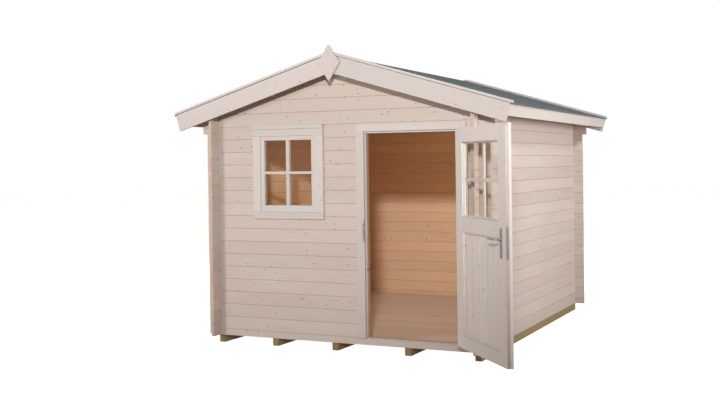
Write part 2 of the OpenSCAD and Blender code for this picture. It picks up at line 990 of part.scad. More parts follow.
from_origin() bargeboard(-1, front_y, front_y + trim_t);  // front_bargeboard_left
from_origin() bargeboard(1, front_y, front_y + trim_t);  // front_bargeboard_right
from_origin() bargeboard(-1, back_y - trim_t, back_y);  // back_bargeboard_left
from_origin() bargeboard(1, back_y - trim_t, back_y);  // back_bargeboard_right
from_origin() front_cap(-1);  // front_cap_left
from_origin() front_cap(1);  // front_cap_right
from_origin() back_cap(-1);  // back_cap_left
from_origin() back_cap(1);  // back_cap_right
from_origin() front_gable_plate();
from_origin() door_jamb_left();
from_origin() door_jamb_right();
from_origin() door_head();
from_origin() door_threshold();
from_origin() strike_plate();
from_origin() leaf_frame();
from_origin() leaf_panel();
from_origin() leaf_glass();
from_origin() lock_set();
from_origin() door_lever();
from_origin() leaf_hinge(true);  // leaf_hinge_upper
from_origin() leaf_hinge(false);  // leaf_hinge_lower
from_origin() frame_hinge(true);  // frame_hinge_upper
from_origin() frame_hinge(false);  // frame_hinge_lower
from_origin() window_casing();
from_origin() window_sash();
from_origin() window_glass();
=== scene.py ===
"""Looks of the garden house: boards, fixings, panes, finishes, light and camera."""
import json
import logging
import math
from collections.abc import Callable, Iterable, Mapping, Sequence
from dataclasses import dataclass, field
from enum import Enum

import bmesh
import bpy
import numpy as np
from mathutils import Matrix, Vector


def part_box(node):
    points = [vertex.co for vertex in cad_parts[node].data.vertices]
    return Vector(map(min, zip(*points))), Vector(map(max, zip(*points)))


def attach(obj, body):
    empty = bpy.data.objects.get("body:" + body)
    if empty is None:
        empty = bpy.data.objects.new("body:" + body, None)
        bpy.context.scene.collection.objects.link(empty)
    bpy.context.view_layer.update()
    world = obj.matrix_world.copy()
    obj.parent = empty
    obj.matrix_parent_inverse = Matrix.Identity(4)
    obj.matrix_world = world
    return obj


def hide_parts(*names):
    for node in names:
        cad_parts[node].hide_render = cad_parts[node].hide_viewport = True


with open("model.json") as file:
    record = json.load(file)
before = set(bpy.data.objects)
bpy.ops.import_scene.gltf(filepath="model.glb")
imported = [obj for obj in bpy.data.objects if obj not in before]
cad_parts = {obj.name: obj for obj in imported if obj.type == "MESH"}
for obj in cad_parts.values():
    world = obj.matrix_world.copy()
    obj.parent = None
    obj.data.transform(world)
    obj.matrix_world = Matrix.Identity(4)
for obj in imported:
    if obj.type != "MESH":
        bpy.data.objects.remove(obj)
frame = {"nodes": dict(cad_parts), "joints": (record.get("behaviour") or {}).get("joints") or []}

log = logging.getLogger("garden_house")

Colour = tuple[float, float, float, float]
Section = Sequence[tuple[float, float]]

UP = Vector((0, 0, 1))
RIGHT = Vector((1, 0, 0))
BACK = Vector((0, 1, 0))
WHITE: Colour = (1.0, 1.0, 1.0, 1.0)

# Edges that turn by more than this are rounded.
SHARP = math.radians(40.0)
# A face shows end grain where its normal and the fibres agree by more than this cosine.
END_GRAIN = 0.85
# Brings the crest of phase * phase * (1 - phase) to 1.
RING_CREST = 6.75
# Gap between a pane or panel and the bars or beads beside it.
GLASS_GAP = 0.0004


class Body(Enum):
    """The bodies that pieces ride on."""

    HOUSE = "house"
    LEAF = "door_leaf"
    LEVER = "door_lever"


class Slot(Enum):
    """The record's material slots."""

    LOGS = "spruce_logs"
    TRIM = "planed_trim"
    LEAF = "door_leaf"
    ROOF = "roof_wood"
    FLOOR = "floor_boards"
    BEAMS = "impregnated_wood"
    FELT = "roofing_felt"
    GLASS = "glass"
    STEEL = "bright_steel"


class Side(Enum):
    """The sides of the roof, with the way that each one falls along X."""

    LEFT = -1
    RIGHT = 1


def srgb(red: int, green: int, blue: int) -> Colour:
    """Turns three sRGB levels into a linear colour.

    Args:
        red: Level from 0 to 255.
        green: Level from 0 to 255.
        blue: Level from 0 to 255.

    Returns:
        The linear colour, with alpha 1.
    """
    def linear(level: int) -> float:
        """Linear value of one level."""
        part = level / 255
        return part / 12.92 if part <= 0.04045 else ((part + 0.055) / 1.055) ** 2.4

    return (linear(red), linear(green), linear(blue), 1.0)


def set_up(node: bpy.types.Node, settings: Mapping[str, object] | None) -> None:
    """Sets a node's own properties, before anything is linked to it.

    Args:
        node: The node.
        settings: Property names and values; "stops" holds the places and colours of a ramp.
    """
    for name, value in (settings or {}).items():
        if name == "stops":
            ramp = node.color_ramp
            for index, (place, colour) in enumerate(value):
                stop = ramp.elements[index] if index < 2 else ramp.elements.new(place)
                stop.position = place
                stop.color = colour
        else:
            setattr(node, name, value)


class Signal:
    """A shader socket that can be used in Python expressions."""

    def __init__(self, shader: "Shader", socket: bpy.types.NodeSocket) -> None:
        """Keeps the socket and the shader that it belongs to."""
        self.shader = shader
        self.socket = socket

    def maths(self, operation: str, *values: "Signal | float") -> "Signal":
        """Adds one Math node.

        Args:
            operation: The Math node's operation.
            *values: What goes into its sockets, in order.

        Returns:
            The result.
        """
        node = self.shader.node("ShaderNodeMath", {"operation": operation}, dict(enumerate(values)))
        return Signal(self.shader, node.outputs[0])

    def __add__(self, other: "Signal | float") -> "Signal":
        """Sum."""
        return self.maths("ADD", self, other)

    __radd__ = __add__

    def __sub__(self, other: "Signal | float") -> "Signal":
        """Difference."""
        return self.maths("SUBTRACT", self, other)

    def __rsub__(self, other: "Signal | float") -> "Signal":
        """Difference, with a number first."""
        return self.maths("SUBTRACT", other, self)

    def __mul__(self, other: "Signal | float") -> "Signal":
        """Product."""
        return self.maths("MULTIPLY", self, other)

    __rmul__ = __mul__

    def __truediv__(self, other: "Signal | float") -> "Signal":
        """Quotient."""
        return self.maths("DIVIDE", self, other)

    def __rtruediv__(self, other: "Signal | float") -> "Signal":
        """Quotient, with a number first."""
        return self.maths("DIVIDE", other, self)

    def __pow__(self, power: float) -> "Signal":
        """Power."""
        return self.maths("POWER", self, power)

    def __abs__(self) -> "Signal":
        """Size without sign."""
        return self.maths("ABSOLUTE", self)

    def __gt__(self, other: "Signal | float") -> "Signal":
        """1 where this is greater, else 0."""
        return self.maths("GREATER_THAN", self, other)

    def __lt__(self, other: "Signal | float") -> "Signal":
        """1 where this is less, else 0."""
        return self.maths("LESS_THAN", self, other)

    def root(self) -> "Signal":
        """Square root."""
        return self.maths("SQRT", self)

    def part(self) -> "Signal":
        """What is left after whole numbers are taken away."""
        return self.maths("FRACT", self)

    def larger(self, other: "Signal | float") -> "Signal":
        """The larger of the two."""
        return self.maths("MAXIMUM", self, other)

    def between(self, low: "Signal | float", high: "Signal | float") -> "Signal":
        """Rises smoothly from 0 to 1.

        Args:
            low: Where it starts to rise.
            high: Where it reaches 1.

        Returns:
            The smooth step.
        """
        node = self.shader.node(
            "ShaderNodeMapRange", {"interpolation_type": "SMOOTHSTEP"},
            {"Value": self, "From Min": low, "From Max": high},
        )
        return Signal(self.shader, node.outputs[0])


class Shader:
    """One node tree of a material or the world, built call by call."""

    def __init__(self, tree: bpy.types.NodeTree) -> None:
        """Starts from an empty tree."""
        self.tree = tree
        tree.nodes.clear()

    @classmethod
    def of_material(cls, name: str) -> "tuple[Shader, bpy.types.Material]":
        """Makes a material with an empty tree.

        Args:
            name: The material's name.

        Returns:
            The shader and the material.
        """
        material = bpy.data.materials.new(name)
        material.use_nodes = True
        return cls(material.node_tree), material

    def node(
        self,
        kind: str,
        settings: Mapping[str, object] | None = None,
        sockets: "Mapping[str | int, object] | None" = None,
    ) -> bpy.types.Node:
        """Adds a node.

        Args:
            kind: The node's type.
            settings: Its own properties, set first.
            sockets: Values or links of its input sockets, by name or number.

        Returns:
            The node.
        """
        node = self.tree.nodes.new(kind)
        set_up(node, settings)
        for key, value in (sockets or {}).items():
            if isinstance(value, Signal):
                self.tree.links.new(value.socket, node.inputs[key])
            elif isinstance(value, bpy.types.NodeSocket):
                self.tree.links.new(value, node.inputs[key])
            else:
                node.inputs[key].default_value = value
        return node

    def signal(self, node: bpy.types.Node, output: str | int = 0) -> Signal:
        """One output of a node."""
        return Signal(self, node.outputs[output])

    def attribute(self, name: str, output: str = "Vector") -> Signal:
        """A piece's own attribute."""
        return self.signal(self.node("ShaderNodeAttribute", {"attribute_name": name}), output)

    def place(self) -> Signal:
        """Object coordinates."""
        return self.signal(self.node("ShaderNodeTexCoord"), "Object")

    def join(self, x: Signal | float, y: Signal | float, z: Signal | float = 0.0) -> Signal:
        """Three values as one vector."""
        return self.signal(self.node("ShaderNodeCombineXYZ", None, {0: x, 1: y, 2: z}))

    def split(self, vector: Signal) -> tuple[Signal, Signal, Signal]:
        """A vector's or colour's three values."""
        node = self.node("ShaderNodeSeparateXYZ", None, {0: vector})
        return self.signal(node, 0), self.signal(node, 1), self.signal(node, 2)

    def noise(
        self, place: Signal, scale: float, detail: float = 2.0, roughness: float = 0.5
    ) -> Signal:
        """Soft noise from 0 to 1.

        Args:
            place: Where it is read.
            scale: Blobs per metre.
            detail: Finer layers.
            roughness: Strength of the finer layers.

        Returns:
            The noise.
        """
        return self.signal(self.node("ShaderNodeTexNoise", None, {
            "Vector": place, "Scale": scale, "Detail": detail, "Roughness": roughness,
        }))

    def mix(
        self, share: Signal | float, first: object, second: object, how: str = "MIX"
    ) -> Signal:
        """Mixes two colours.

        Args:
            share: Share of the second, from 0 to 1.
            first: A colour or a signal.
            second: A colour or a signal.
            how: The Mix node's blend type.

        Returns:
            The mixed colour.
        """
        settings = {"data_type": "RGBA", "blend_type": how}
        return self.signal(self.node("ShaderNodeMix", settings, {0: share, 6: first, 7: second}), 2)

    def surface(
        self, sockets: Mapping[str, object], height: Signal | None = None, depth: float = 0.0
    ) -> Signal:
        """Adds the surface shader, with a bump if a height is given.

        Args:
            sockets: Values or links of the shader's sockets.
            height: Height over the surface, from 0 to 1.
            depth: Height in metres that 1 stands for.

        Returns:
            The surface.
        """
        sockets = dict(sockets)
        if height is not None:
            bump = self.node("ShaderNodeBump", None, {"Height": height, "Distance": depth})
            sockets["Normal"] = self.signal(bump)
        return self.signal(self.node("ShaderNodeBsdfPrincipled", None, sockets))

    def close(self, surface: Signal) -> None:
        """Ends the tree with the material's output."""
        self.node("ShaderNodeOutputMaterial", None, {"Surface": surface})


@dataclass(frozen=True)
class PaintedRoomLight:
    """Painted light inside the walls: a tint multiplied onto the wood there, standing in for the warm
    light bounced round the room.
    """

    middle: float = 0.075
    half: float = 1.287
    light_tint: Colour = (0.94, 0.74, 0.54, 1.0)

    def mask(self, shader: Shader) -> Signal:
        """1 inside the walls, else 0."""
        x, y, _ = shader.split(shader.place())
        return (abs(x - self.middle) < self.half) * (abs(y) < self.half)


@dataclass(frozen=True)
class Knots:
    """Knots of one size: cells per metre, radii, and how strongly they mark the board."""

    cells: float
    small: float
    large: float
    shift: float
    rim: float
    heart: float
    push: float
    blur: float = 0.0006
    spread: float = 0.026

    def lay(
        self, s: Shader, u: Signal, v: Signal, board: Signal, share: float
    ) -> tuple[Signal, Signal, Signal]:
        """Lays the knots over a board.

        Args:
            s: The shader.
            u: Distance along the board.
            v: Distance across the board.
            board: The board's own number.
            share: Share of the cells that hold a knot.

        Returns:
            The knots' dark rim, their red heart, and how far they push the rings aside.
        """
        cells = s.node("ShaderNodeTexVoronoi", {"voronoi_dimensions": "2D"}, {
            "Vector": s.join(u * 0.8 + board * self.shift, v + board * 1.9), "Scale": self.cells})
        chance, size, _ = s.split(s.signal(cells, "Color"))
        held = chance < share
        radius = (size * (self.large - self.small) + self.small) * held
        away = s.signal(cells, "Distance") / self.cells
        disc = 1 - away.between(radius * 0.72, radius + self.blur)
        inner = 1 - away.between(radius * 0.35, radius * 0.8)
        around = (1 - away.between(0.0, self.spread)) * held
        return disc * self.rim, inner * self.heart, around * self.push


SMALL_KNOTS = Knots(9.5, 0.0036, 0.0072, shift=3.7, rim=1.0, heart=0.25, push=0.5)
LARGE_KNOTS = Knots(3.2, 0.0075, 0.0130, shift=11.3, rim=0.85, heart=0.8, push=1.0)


@dataclass(frozen=True)
class Wood:
    """Sawn softwood: growth rings, fibres and knots that follow each board's own grain."""

    name: str
    pale: Colour
    late: Colour
    warm: Colour
    end: Colour
    knot: Colour
    ring: float = 0.0042
    contrast: float = 0.42
    knot_share: float = 0.65
    large_share: float = 0.16
    roughness: float = 0.58
    tone: float = 0.10
    relief: float = 0.0005
    # Painted shade in the V grooves: joint is half a course's height, where a darker warm band runs
    # along each joint.
    joint: float = 0.0
    groove_shade_blur: tuple[float, float] = (0.0045, 0.0008)
    groove_shade_tint: Colour = (0.74, 0.62, 0.54, 1.0)
    room: PaintedRoomLight | None = PaintedRoomLight()

    def rings(
        self,
        s: Shader,
        place: tuple[Signal, Signal, Signal],
        board: Signal,
        pith: tuple[Signal, Signal],
        aside: Signal,
    ) -> tuple[Signal, Signal]:
        """Cuts the board from a trunk that sways a little.

        Args:
            s: The shader.
            place: Distances along, across and through the board.
            board: The board's own number.
            pith: Two chances from 0 to 1 that say where the trunk's middle is.
            aside: How far the knots push the rings aside.

        Returns:
            The dark late wood of the rings, and the fine noise that frays them.
        """
        u, v, w = place
        sway = s.noise(s.join(u * 0.9 + board * 7.3, board), 1.0, 1.5) - 0.5
        dive = s.noise(s.join(u * 0.7, board * 5.1, 4.0), 1.0, 1.5) - 0.5
        pith_v = (pith[0] - 0.5) * 0.09 + sway * 0.05
        pith_w = pith[1] * 0.045 + dive * 0.05 + 0.022
        fray = s.noise(s.join(u * 2.0, v * 70, w * 70 + board), 1.0, 3.0, 0.6)
        radius = ((v - pith_v) ** 2 + (w - pith_w) ** 2).root() + fray * 0.0016 + aside * 0.008
        phase = (radius / self.ring).part()
        return phase * phase * (1 - phase) * RING_CREST, fray

    def build(self) -> bpy.types.Material:
        """Builds the material.

        Returns:
            The material.
        """
        s, material = Shader.of_material(self.name)
        u, v, w = s.split(s.attribute("grain"))
        board = s.attribute("board", "Fac")
        end = s.attribute("end", "Fac")
        chances = s.node("ShaderNodeTexWhiteNoise", {"noise_dimensions": "1D"}, {"W": board})
        first, second, third = s.split(s.signal(chances, "Color"))
        small = SMALL_KNOTS.lay(s, u, v, board, self.knot_share)
        large = LARGE_KNOTS.lay(s, u, v, board, self.large_share)
        rim, heart, aside = small[0].larger(large[0]), small[1] + large[1], small[2] + large[2]
        late, fray = self.rings(s, (u, v, w), board, (first, second), aside)
        fibre = s.noise(s.join(u * 5, v * 260, w * 260 + board), 1.0, 3.0, 0.65)
        cloud = s.noise(s.join(u * 1.3 + board * 2.3, v * 5, w * 5), 1.0, 2.0)

        colour = s.mix(cloud.between(0.35, 0.7) * 0.75, self.pale, self.warm)
        colour = s.mix(late * self.contrast * (0.45 + fray * 0.9), colour, self.late)
        colour = s.mix(fibre.between(0.42, 0.75) * 0.22, colour, self.late)
        colour = s.mix(end * 0.85, colour, s.mix(late * 0.5, self.end, self.late))
        colour = s.mix(heart.between(0.0, 1.0) * 0.55, colour, self.warm)
        colour = s.mix(rim * (1 - end) * (0.5 + third * 0.25), colour, self.knot)
        grey = 1 - self.tone * third
        green = grey * (1 - (first - 0.5) * 0.02)
        colour = s.mix(1.0, colour, s.join(grey, green, grey), "MULTIPLY")
        # Painted shade: a darker warm band along each V groove between the logs.
        if self.joint:
            start, stop = (self.joint - blur for blur in self.groove_shade_blur)
            shaded = s.mix(1.0, colour, self.groove_shade_tint, "MULTIPLY")
            colour = s.mix(abs(v).between(start, stop) * 0.35, colour, shaded)
        # Painted room light: inside the walls the wood takes a warm tint for the light bounced round
        # the room.
        if self.room:
            colour = s.mix(self.room.mask(s), colour, s.mix(1.0, colour, self.room.light_tint, "MULTIPLY"))
        rough = self.roughness + late * 0.08 + end * 0.15
        height = fibre * 0.5 + late * 0.5 - rim * 0.6
        s.close(s.surface({"Base Color": colour, "Roughness": rough}, height, self.relief))
        return material


@dataclass(frozen=True)
class Felt:
    """Slate-grey roofing felt: mineral granules over bitumen."""

    name: str = "roofing_felt"
    granule: Colour = srgb(104, 117, 121)
    dark: Colour = srgb(74, 85, 89)
    bitumen: Colour = srgb(46, 47, 48)
    granules: float = 620.0
    bare_share: float = 0.07
    relief: float = 0.0009

    def build(self) -> bpy.types.Material:
        """Builds the material.

        Returns:
            The material.
        """
        s, material = Shader.of_material(self.name)
        place = s.place()
        cells = s.node("ShaderNodeTexVoronoi", None, {"Vector": place, "Scale": self.granules})
        chance, _, _ = s.split(s.signal(cells, "Color"))
        patch = s.noise(place, 1.6, 3.0)
        colour = s.mix(chance, self.granule, self.dark)
        colour = s.mix(patch.between(0.35, 0.75) * 0.30, colour, self.dark)
        colour = s.mix((chance > 1 - self.bare_share) * 0.5, colour, self.bitumen)
        rough = 0.86 + patch * 0.1
        height = s.signal(cells, "Distance")
        s.close(s.surface({"Base Color": colour, "Roughness": rough}, height, self.relief))
        return material


@dataclass(frozen=True)
class Steel:
    """Brushed steel or zinc, with smudges that dull it."""

    name: str
    colour: Colour = srgb(192, 186, 180)
    dull: Colour = srgb(146, 139, 134)
    roughness: float = 0.36
    relief: float = 0.00004

    def build(self) -> bpy.types.Material:
        """Builds the material.

        Returns:
            The material.
        """
        s, material = Shader.of_material(self.name)
        x, y, z = s.split(s.place())
        brushed = s.noise(s.join(x * 900, y * 900, z * 12), 1.0, 3.0, 0.6)
        smudge = s.noise(s.place(), 26.0, 3.0)
        colour = s.mix(smudge.between(0.4, 0.75) * 0.5, self.colour, self.dull)
        rough = self.roughness + brushed * 0.16 + smudge * 0.08
        sockets = {"Base Color": colour, "Metallic": 1.0, "Roughness": rough}
        s.close(s.surface(sockets, brushed, self.relief))
        return material


@dataclass(frozen=True)
class Glass:
    """Clear float glass: hardly seen straight on, with clean reflections at a slant."""

    name: str = "window_glass"
    clear: Colour = (0.98, 0.975, 0.96, 1.0)
    shine: Colour = (0.80, 0.84, 0.84, 1.0)
    least: float = 0.008
    most: float = 0.5
    slant_power: float = 5.0

    def build(self) -> bpy.types.Material:
        """Builds the material.

        Returns:
            The material.
        """
        s, material = Shader.of_material(self.name)
        haze = s.noise(s.place(), 9.0, 3.0)
        gloss = s.node(
            "ShaderNodeBsdfGlossy", None, {"Color": self.shine, "Roughness": 0.02 + haze * 0.03})
        through = s.node("ShaderNodeBsdfTransparent", None, {"Color": self.clear})
        slant = s.signal(s.node("ShaderNodeLayerWeight", None, {"Blend": 0.5}), "Facing")
        share = self.least + slant ** self.slant_power * (self.most - self.least) + haze * 0.01
        s.close(s.signal(s.node("ShaderNodeMixShader", None, {
            0: share, 1: through.outputs[0], 2: gloss.outputs[0]})))
        return material


@dataclass(frozen=True)
class Ground:
    """Plain studio floor, white to the eye, with a trace of the object's shadow."""

    name: str = "studio_floor"
    colour: Colour = (0.50, 0.50, 0.50, 1.0)
    glow: float = 0.95

    def build(self) -> bpy.types.Material:
        """Builds the material.

        Returns:
            The material.
        """
        s, material = Shader.of_material(self.name)
        glow = s.signal(s.node("ShaderNodeLightPath"), "Is Camera Ray") * self.glow
        s.close(s.surface({
            "Base Color": self.colour, "Roughness": 1.0, "Specular IOR Level": 0.0,
            "Emission Color": s.join(glow, glow, glow), "Emission Strength": 1.0,
        }))
        return material


@dataclass(frozen=True)
class Finish:
    """A material, and the slot that it fills."""

    material: bpy.types.Material
    slot: Slot


@dataclass
class Finishes:
    """Every finish of the house, built once."""

    logs: Finish
    trim: Finish
    leaf: Finish
    roof: Finish
    floor: Finish
    beams: Finish
    felt: Finish
    glass: Finish
    steel: Finish
    nails: Finish

    @classmethod
    def build(cls) -> "Finishes":
        """Builds them all.

        Returns:
            The finishes.
        """
        knot = srgb(104, 68, 48)
        logs = Wood(
            "spruce_logs", pale=srgb(198, 192, 187), late=srgb(179, 154, 138),
            warm=srgb(196, 181, 172), end=srgb(190, 158, 132), knot=knot, joint=0.057,
            room=PaintedRoomLight(light_tint=(1.30, 1.05, 0.75, 1.0)))
        trim = Wood(
            "planed_trim", pale=srgb(199, 196, 194), late=srgb(184, 170, 160),
            warm=srgb(197, 188, 182), end=srgb(196, 172, 152), knot=knot, contrast=0.26,
            knot_share=0.3, large_share=0.08)
        # The leaf's wood is pale in its own colour, and paler still as painted light that lifts its
        # dimly lit face.
        leaf = Wood(
            "door_leaf_wood", pale=srgb(223, 218, 216), late=srgb(204, 188, 180),
            warm=srgb(219, 210, 205), end=srgb(190, 170, 158), knot=knot, contrast=0.30,
            knot_share=0.34, large_share=0.07, room=None)
        roof = Wood(
            "roof_wood", pale=srgb(208, 184, 164), late=srgb(184, 142, 112),
            warm=srgb(204, 172, 146), end=srgb(188, 150, 122), knot=knot)
        floor = Wood(
            "floor_wood", pale=srgb(224, 208, 194), late=srgb(196, 170, 148),
            warm=srgb(216, 196, 178), end=srgb(176, 142, 116), knot=knot, contrast=0.5,
            room=PaintedRoomLight(light_tint=(1.04, 1.08, 1.10, 1.0)))
        beams = Wood(
            "impregnated_wood", pale=srgb(158, 140, 104), late=srgb(112, 92, 62),
            warm=srgb(138, 122, 86), end=srgb(146, 122, 84), knot=srgb(70, 56, 38),
            contrast=0.6, roughness=0.72, room=None)
        nails = Steel("zinc_nails", srgb(150, 150, 148), srgb(104, 104, 102), 0.45)
        return cls(
            Finish(logs.build(), Slot.LOGS), Finish(trim.build(), Slot.TRIM),
            Finish(leaf.build(), Slot.LEAF), Finish(roof.build(), Slot.ROOF),
            Finish(floor.build(), Slot.FLOOR), Finish(beams.build(), Slot.BEAMS),
            Finish(Felt().build(), Slot.FELT), Finish(Glass().build(), Slot.GLASS),
            Finish(Steel("brushed_steel").build(), Slot.STEEL), Finish(nails.build(), Slot.STEEL),
        )


@dataclass(frozen=True)
class Timber:
    """How one board or log was cut: its directions, its middle and its number."""

    along: Vector
    across: Vector
    middle: Vector
    number: float

    @property
    def depth(self) -> Vector:
        """Unit vector through the board's thickness."""
        return self.along.cross(self.across)


Chooser = Callable[[Vector], Timber]


def link(name: str, mesh: bpy.types.Mesh) -> bpy.types.Object:
    """Puts a mesh in the scene as an object at the origin."""
    piece = bpy.data.objects.new(name, mesh)
    bpy.context.scene.collection.objects.link(piece)
    return piece


def write_mesh(name: str, shape: bmesh.types.BMesh) -> bpy.types.Object:
    """Turns a bmesh into an object and frees it."""
    mesh = bpy.data.meshes.new(name)
    shape.to_mesh(mesh)
    shape.free()
    return link(name, mesh)


def read_mesh(piece: bpy.types.Object) -> bmesh.types.BMesh:
    """Reads an object's mesh into a bmesh."""
    shape = bmesh.new()
    shape.from_mesh(piece.data)
    return shape


def rounded(piece: bpy.types.Object, width: float, segments: int = 2) -> bpy.types.Object:
    """Rounds a piece's sharp edges.

    Args:
        piece: The piece, which gets a new mesh.
        width: Width of the rounding in metres.
        segments: Steps across it.

    Returns:
        The same piece.
    """
    bevel = piece.modifiers.new("rounding", "BEVEL")
    bevel.width = width
    bevel.segments = segments
    bevel.limit_method = "ANGLE"
    bevel.angle_limit = SHARP
    return baked(piece)


def baked(piece: bpy.types.Object) -> bpy.types.Object:
    """Turns a piece with modifiers into a plain mesh.

    Args:
        piece: The piece.

    Returns:
        The same piece, without modifiers.
    """
    bpy.context.view_layer.update()
    graph = bpy.context.evaluated_depsgraph_get()
    mesh = bpy.data.meshes.new_from_object(
        piece.evaluated_get(graph), preserve_all_data_layers=True, depsgraph=graph)
    piece.modifiers.clear()
    piece.data = mesh
    return piece


def from_node(
    node: str, name: str, cuts: Iterable[tuple[Vector, Vector]] = ()
) -> bpy.types.Object:
    """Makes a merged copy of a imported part, with its flat faces whole.

    Args:
        node: The part's name.
        name: The copy's name.
        cuts: Planes, each a point and a normal, that split the faces they cross.

    Returns:
        The copy.
    """
    shape = read_mesh(frame["nodes"][node])
    bmesh.ops.remove_doubles(shape, verts=shape.verts, dist=1e-5)
    bmesh.ops.dissolve_limit(
        shape, angle_limit=math.radians(0.5), verts=shape.verts, edges=shape.edges)
    for point, normal in cuts:
        bmesh.ops.bisect_plane(
            shape, geom=[*shape.verts, *shape.edges, *shape.faces], dist=1e-6,
            plane_co=point, plane_no=normal)
    piece = write_mesh(name, shape)
    for layer in [a.name for a in piece.data.attributes if a.name.startswith(("UVMap", "Col"))]:
        piece.data.attributes.remove(piece.data.attributes[layer])
    return piece


def lay_grain(piece: bpy.types.Object, choose: Chooser, frame_of: Matrix | None = None) -> None:
    """Writes each face's own grain, board number and end grain into a piece's attributes.

    Args:
        piece: The piece.
        choose: Gives the timber of a face from its middle.
        frame_of: Turns the piece's place into the one that choose knows, if it isn't the same.
    """
    mesh = piece.data
    grain = np.zeros((len(mesh.loops), 3), np.float32)
    number = np.zeros(len(mesh.polygons), np.float32)
    end = np.zeros(len(mesh.polygons), np.float32)
    turn = frame_of or Matrix.Identity(4)
    places = [turn @ vertex.co for vertex in mesh.vertices]
    for face in mesh.polygons:
        timber = choose(turn @ face.center)
        normal = turn.to_3x3() @ face.normal
        number[face.index] = timber.number
        end[face.index] = 1.0 if abs(normal.dot(timber.along)) > END_GRAIN else 0.0
        for corner in face.loop_indices:
            offset = places[mesh.loops[corner].vertex_index] - timber.middle
            grain[corner] = (
                offset.dot(timber.along), offset.dot(timber.across), offset.dot(timber.depth))
    for name, kind, domain, values, key in (
        ("grain", "FLOAT_VECTOR", "CORNER", grain, "vector"),
        ("board", "FLOAT", "FACE", number, "value"),
        ("end", "FLOAT", "FACE", end, "value"),
    ):
        layer = mesh.attributes.new(name, kind, domain)
        layer.data.foreach_set(key, values.ravel())


def dress(
    piece: bpy.types.Object,
    finish: Finish,
    body: Body = Body.HOUSE,
    stands_for: Sequence[str] = (),
) -> None:
    """Gives a piece its finish, its body and the parts it stands for, and reports it.

    Args:
        piece: The piece.
        finish: Its finish.
        body: The body that it rides on.
        stands_for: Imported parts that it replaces.
    """
    piece.data.materials.clear()
    piece.data.materials.append(finish.material)
    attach(piece, body.value)
    if stands_for:
        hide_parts(*stands_for)
    log.info(
        "%s: %d faces, %s, on %s",
        piece.name, len(piece.data.polygons), finish.material.name, body.value)


def prism(
    shape: bmesh.types.BMesh,
    section: Section,
    place: Callable[[float, float, float], Vector],
    start: float,
    stop: float,
) -> None:
    """Adds a straight prism to a bmesh.

    Args:
        shape: The bmesh.
        section: Points of the section, in order.
        place: Turns two section values and a length into a point.
        start: Where the prism starts.
        stop: Where it ends.
    """
    near = [shape.verts.new(place(a, b, start)) for a, b in section]
    far = [shape.verts.new(place(a, b, stop)) for a, b in section]
    shape.faces.new(near)
    shape.faces.new(far[::-1])
    for i in range(len(section)):
        j = (i + 1) % len(section)
        shape.faces.new((near[j], near[i], far[i], far[j]))


class GeometryTree:
    """A Geometry Nodes tree with named inputs, built call by call."""

    def __init__(self, name: str) -> None:
        """Starts a tree that takes and gives geometry."""
        self.tree = bpy.data.node_groups.new(name, "GeometryNodeTree")
        self.tree.is_modifier = True
        self.tree.interface.new_socket("Geometry", in_out="INPUT", socket_type="NodeSocketGeometry")
        self.tree.interface.new_socket("Geometry", in_out="OUTPUT", socket_type="NodeSocketGeometry")
        self.source = self.tree.nodes.new("NodeGroupInput")
        self.identifiers: dict[str, str] = {}

    def add_input(self, name: str, kind: str) -> bpy.types.NodeSocket:
        """Adds a named input.

        Args:
            name: The input's name.
            kind: Its type, such as Int, Float, Vector, Object or Material.

        Returns:
            The socket that gives its value.
        """
        item = self.tree.interface.new_socket(
            name, in_out="INPUT", socket_type=f"NodeSocket{kind}")
        self.identifiers[name] = item.identifier
        return self.source.outputs[name]

    def node(
        self,
        kind: str,
        settings: Mapping[str, object] | None = None,
        sockets: Mapping[str | int, object] | None = None,
    ) -> bpy.types.Node:
        """Adds a node.

        Args:
            kind: The node's type.
            settings: Its own properties, set first.
            sockets: Values or links of its input sockets, by name or number.

        Returns:
            The node.
        """
        node = self.tree.nodes.new(kind)
        set_up(node, settings)
        for key, value in (sockets or {}).items():
            if isinstance(value, bpy.types.NodeSocket):
                self.tree.links.new(value, node.inputs[key])
            else:
                node.inputs[key].default_value = value
        return node

    def chance(self, highest: float, sockets: Mapping[str, object]) -> bpy.types.NodeSocket:
        """Adds a random number from 0 to a highest value.

        Args:
            highest: The highest value.
            sockets: Links of its seed and, where it isn't the point's own, its ID.

        Returns:
            The number.
        """
        node = self.node(
            "FunctionNodeRandomValue", {"data_type": "FLOAT"}, {2: 0.0, 3: highest, **sockets})
        return node.outputs[1]

    def close(self, instances: bpy.types.NodeSocket) -> None:
        """Ends the tree: real meshes with their material.

        Args:
            instances: The instances to turn into meshes.
        """
        material = self.add_input("Material", "Material")
        real = self.node("GeometryNodeRealizeInstances", None, {0: instances})
        painted = self.node(
            "GeometryNodeSetMaterial", None, {"Geometry": real.outputs[0], "Material": material})
        self.tree.links.new(painted.outputs[0], self.tree.nodes.new("NodeGroupOutput").inputs[0])

    def run(self, piece: bpy.types.Object, values: Mapping[str, object]) -> None:
        """Runs the tree on a piece and turns the result into a plain mesh.

        Args:
            piece: The piece.
            values: Values of the named inputs.
        """
        modifier = piece.modifiers.new(self.tree.name, "NODES")
        modifier.node_group = self.tree
        for name, value in values.items():
            modifier[self.identifiers[name]] = value
        baked(piece)


class BoardRow(GeometryTree):
    """Repeats one board in a row and gives each its own number."""

    highest: float = 90.0

    def __init__(self) -> None:
        """Builds the tree."""
        super().__init__("board_row")
        count = self.add_input("Count", "Int")
        step = self.add_input("Step", "Vector")
        seed = self.add_input("Seed", "Int")
        line = self.node("GeometryNodeMeshLine", {"mode": "OFFSET"}, {"Count": count, "Offset": step})
        boards = self.node("GeometryNodeInstanceOnPoints", None, {
            "Points": line.outputs[0], "Instance": self.source.outputs["Geometry"]})
        index = self.node("GeometryNodeInputIndex")
        number = self.chance(self.highest, {"ID": index.outputs[0], "Seed": seed})
        store = {"data_type": "FLOAT", "domain": "INSTANCE"}
        numbered = self.node("GeometryNodeStoreNamedAttribute", store, {
            "Geometry": boards.outputs[0], "Name": "board", "Value": number})
        self.close(numbered.outputs[0])


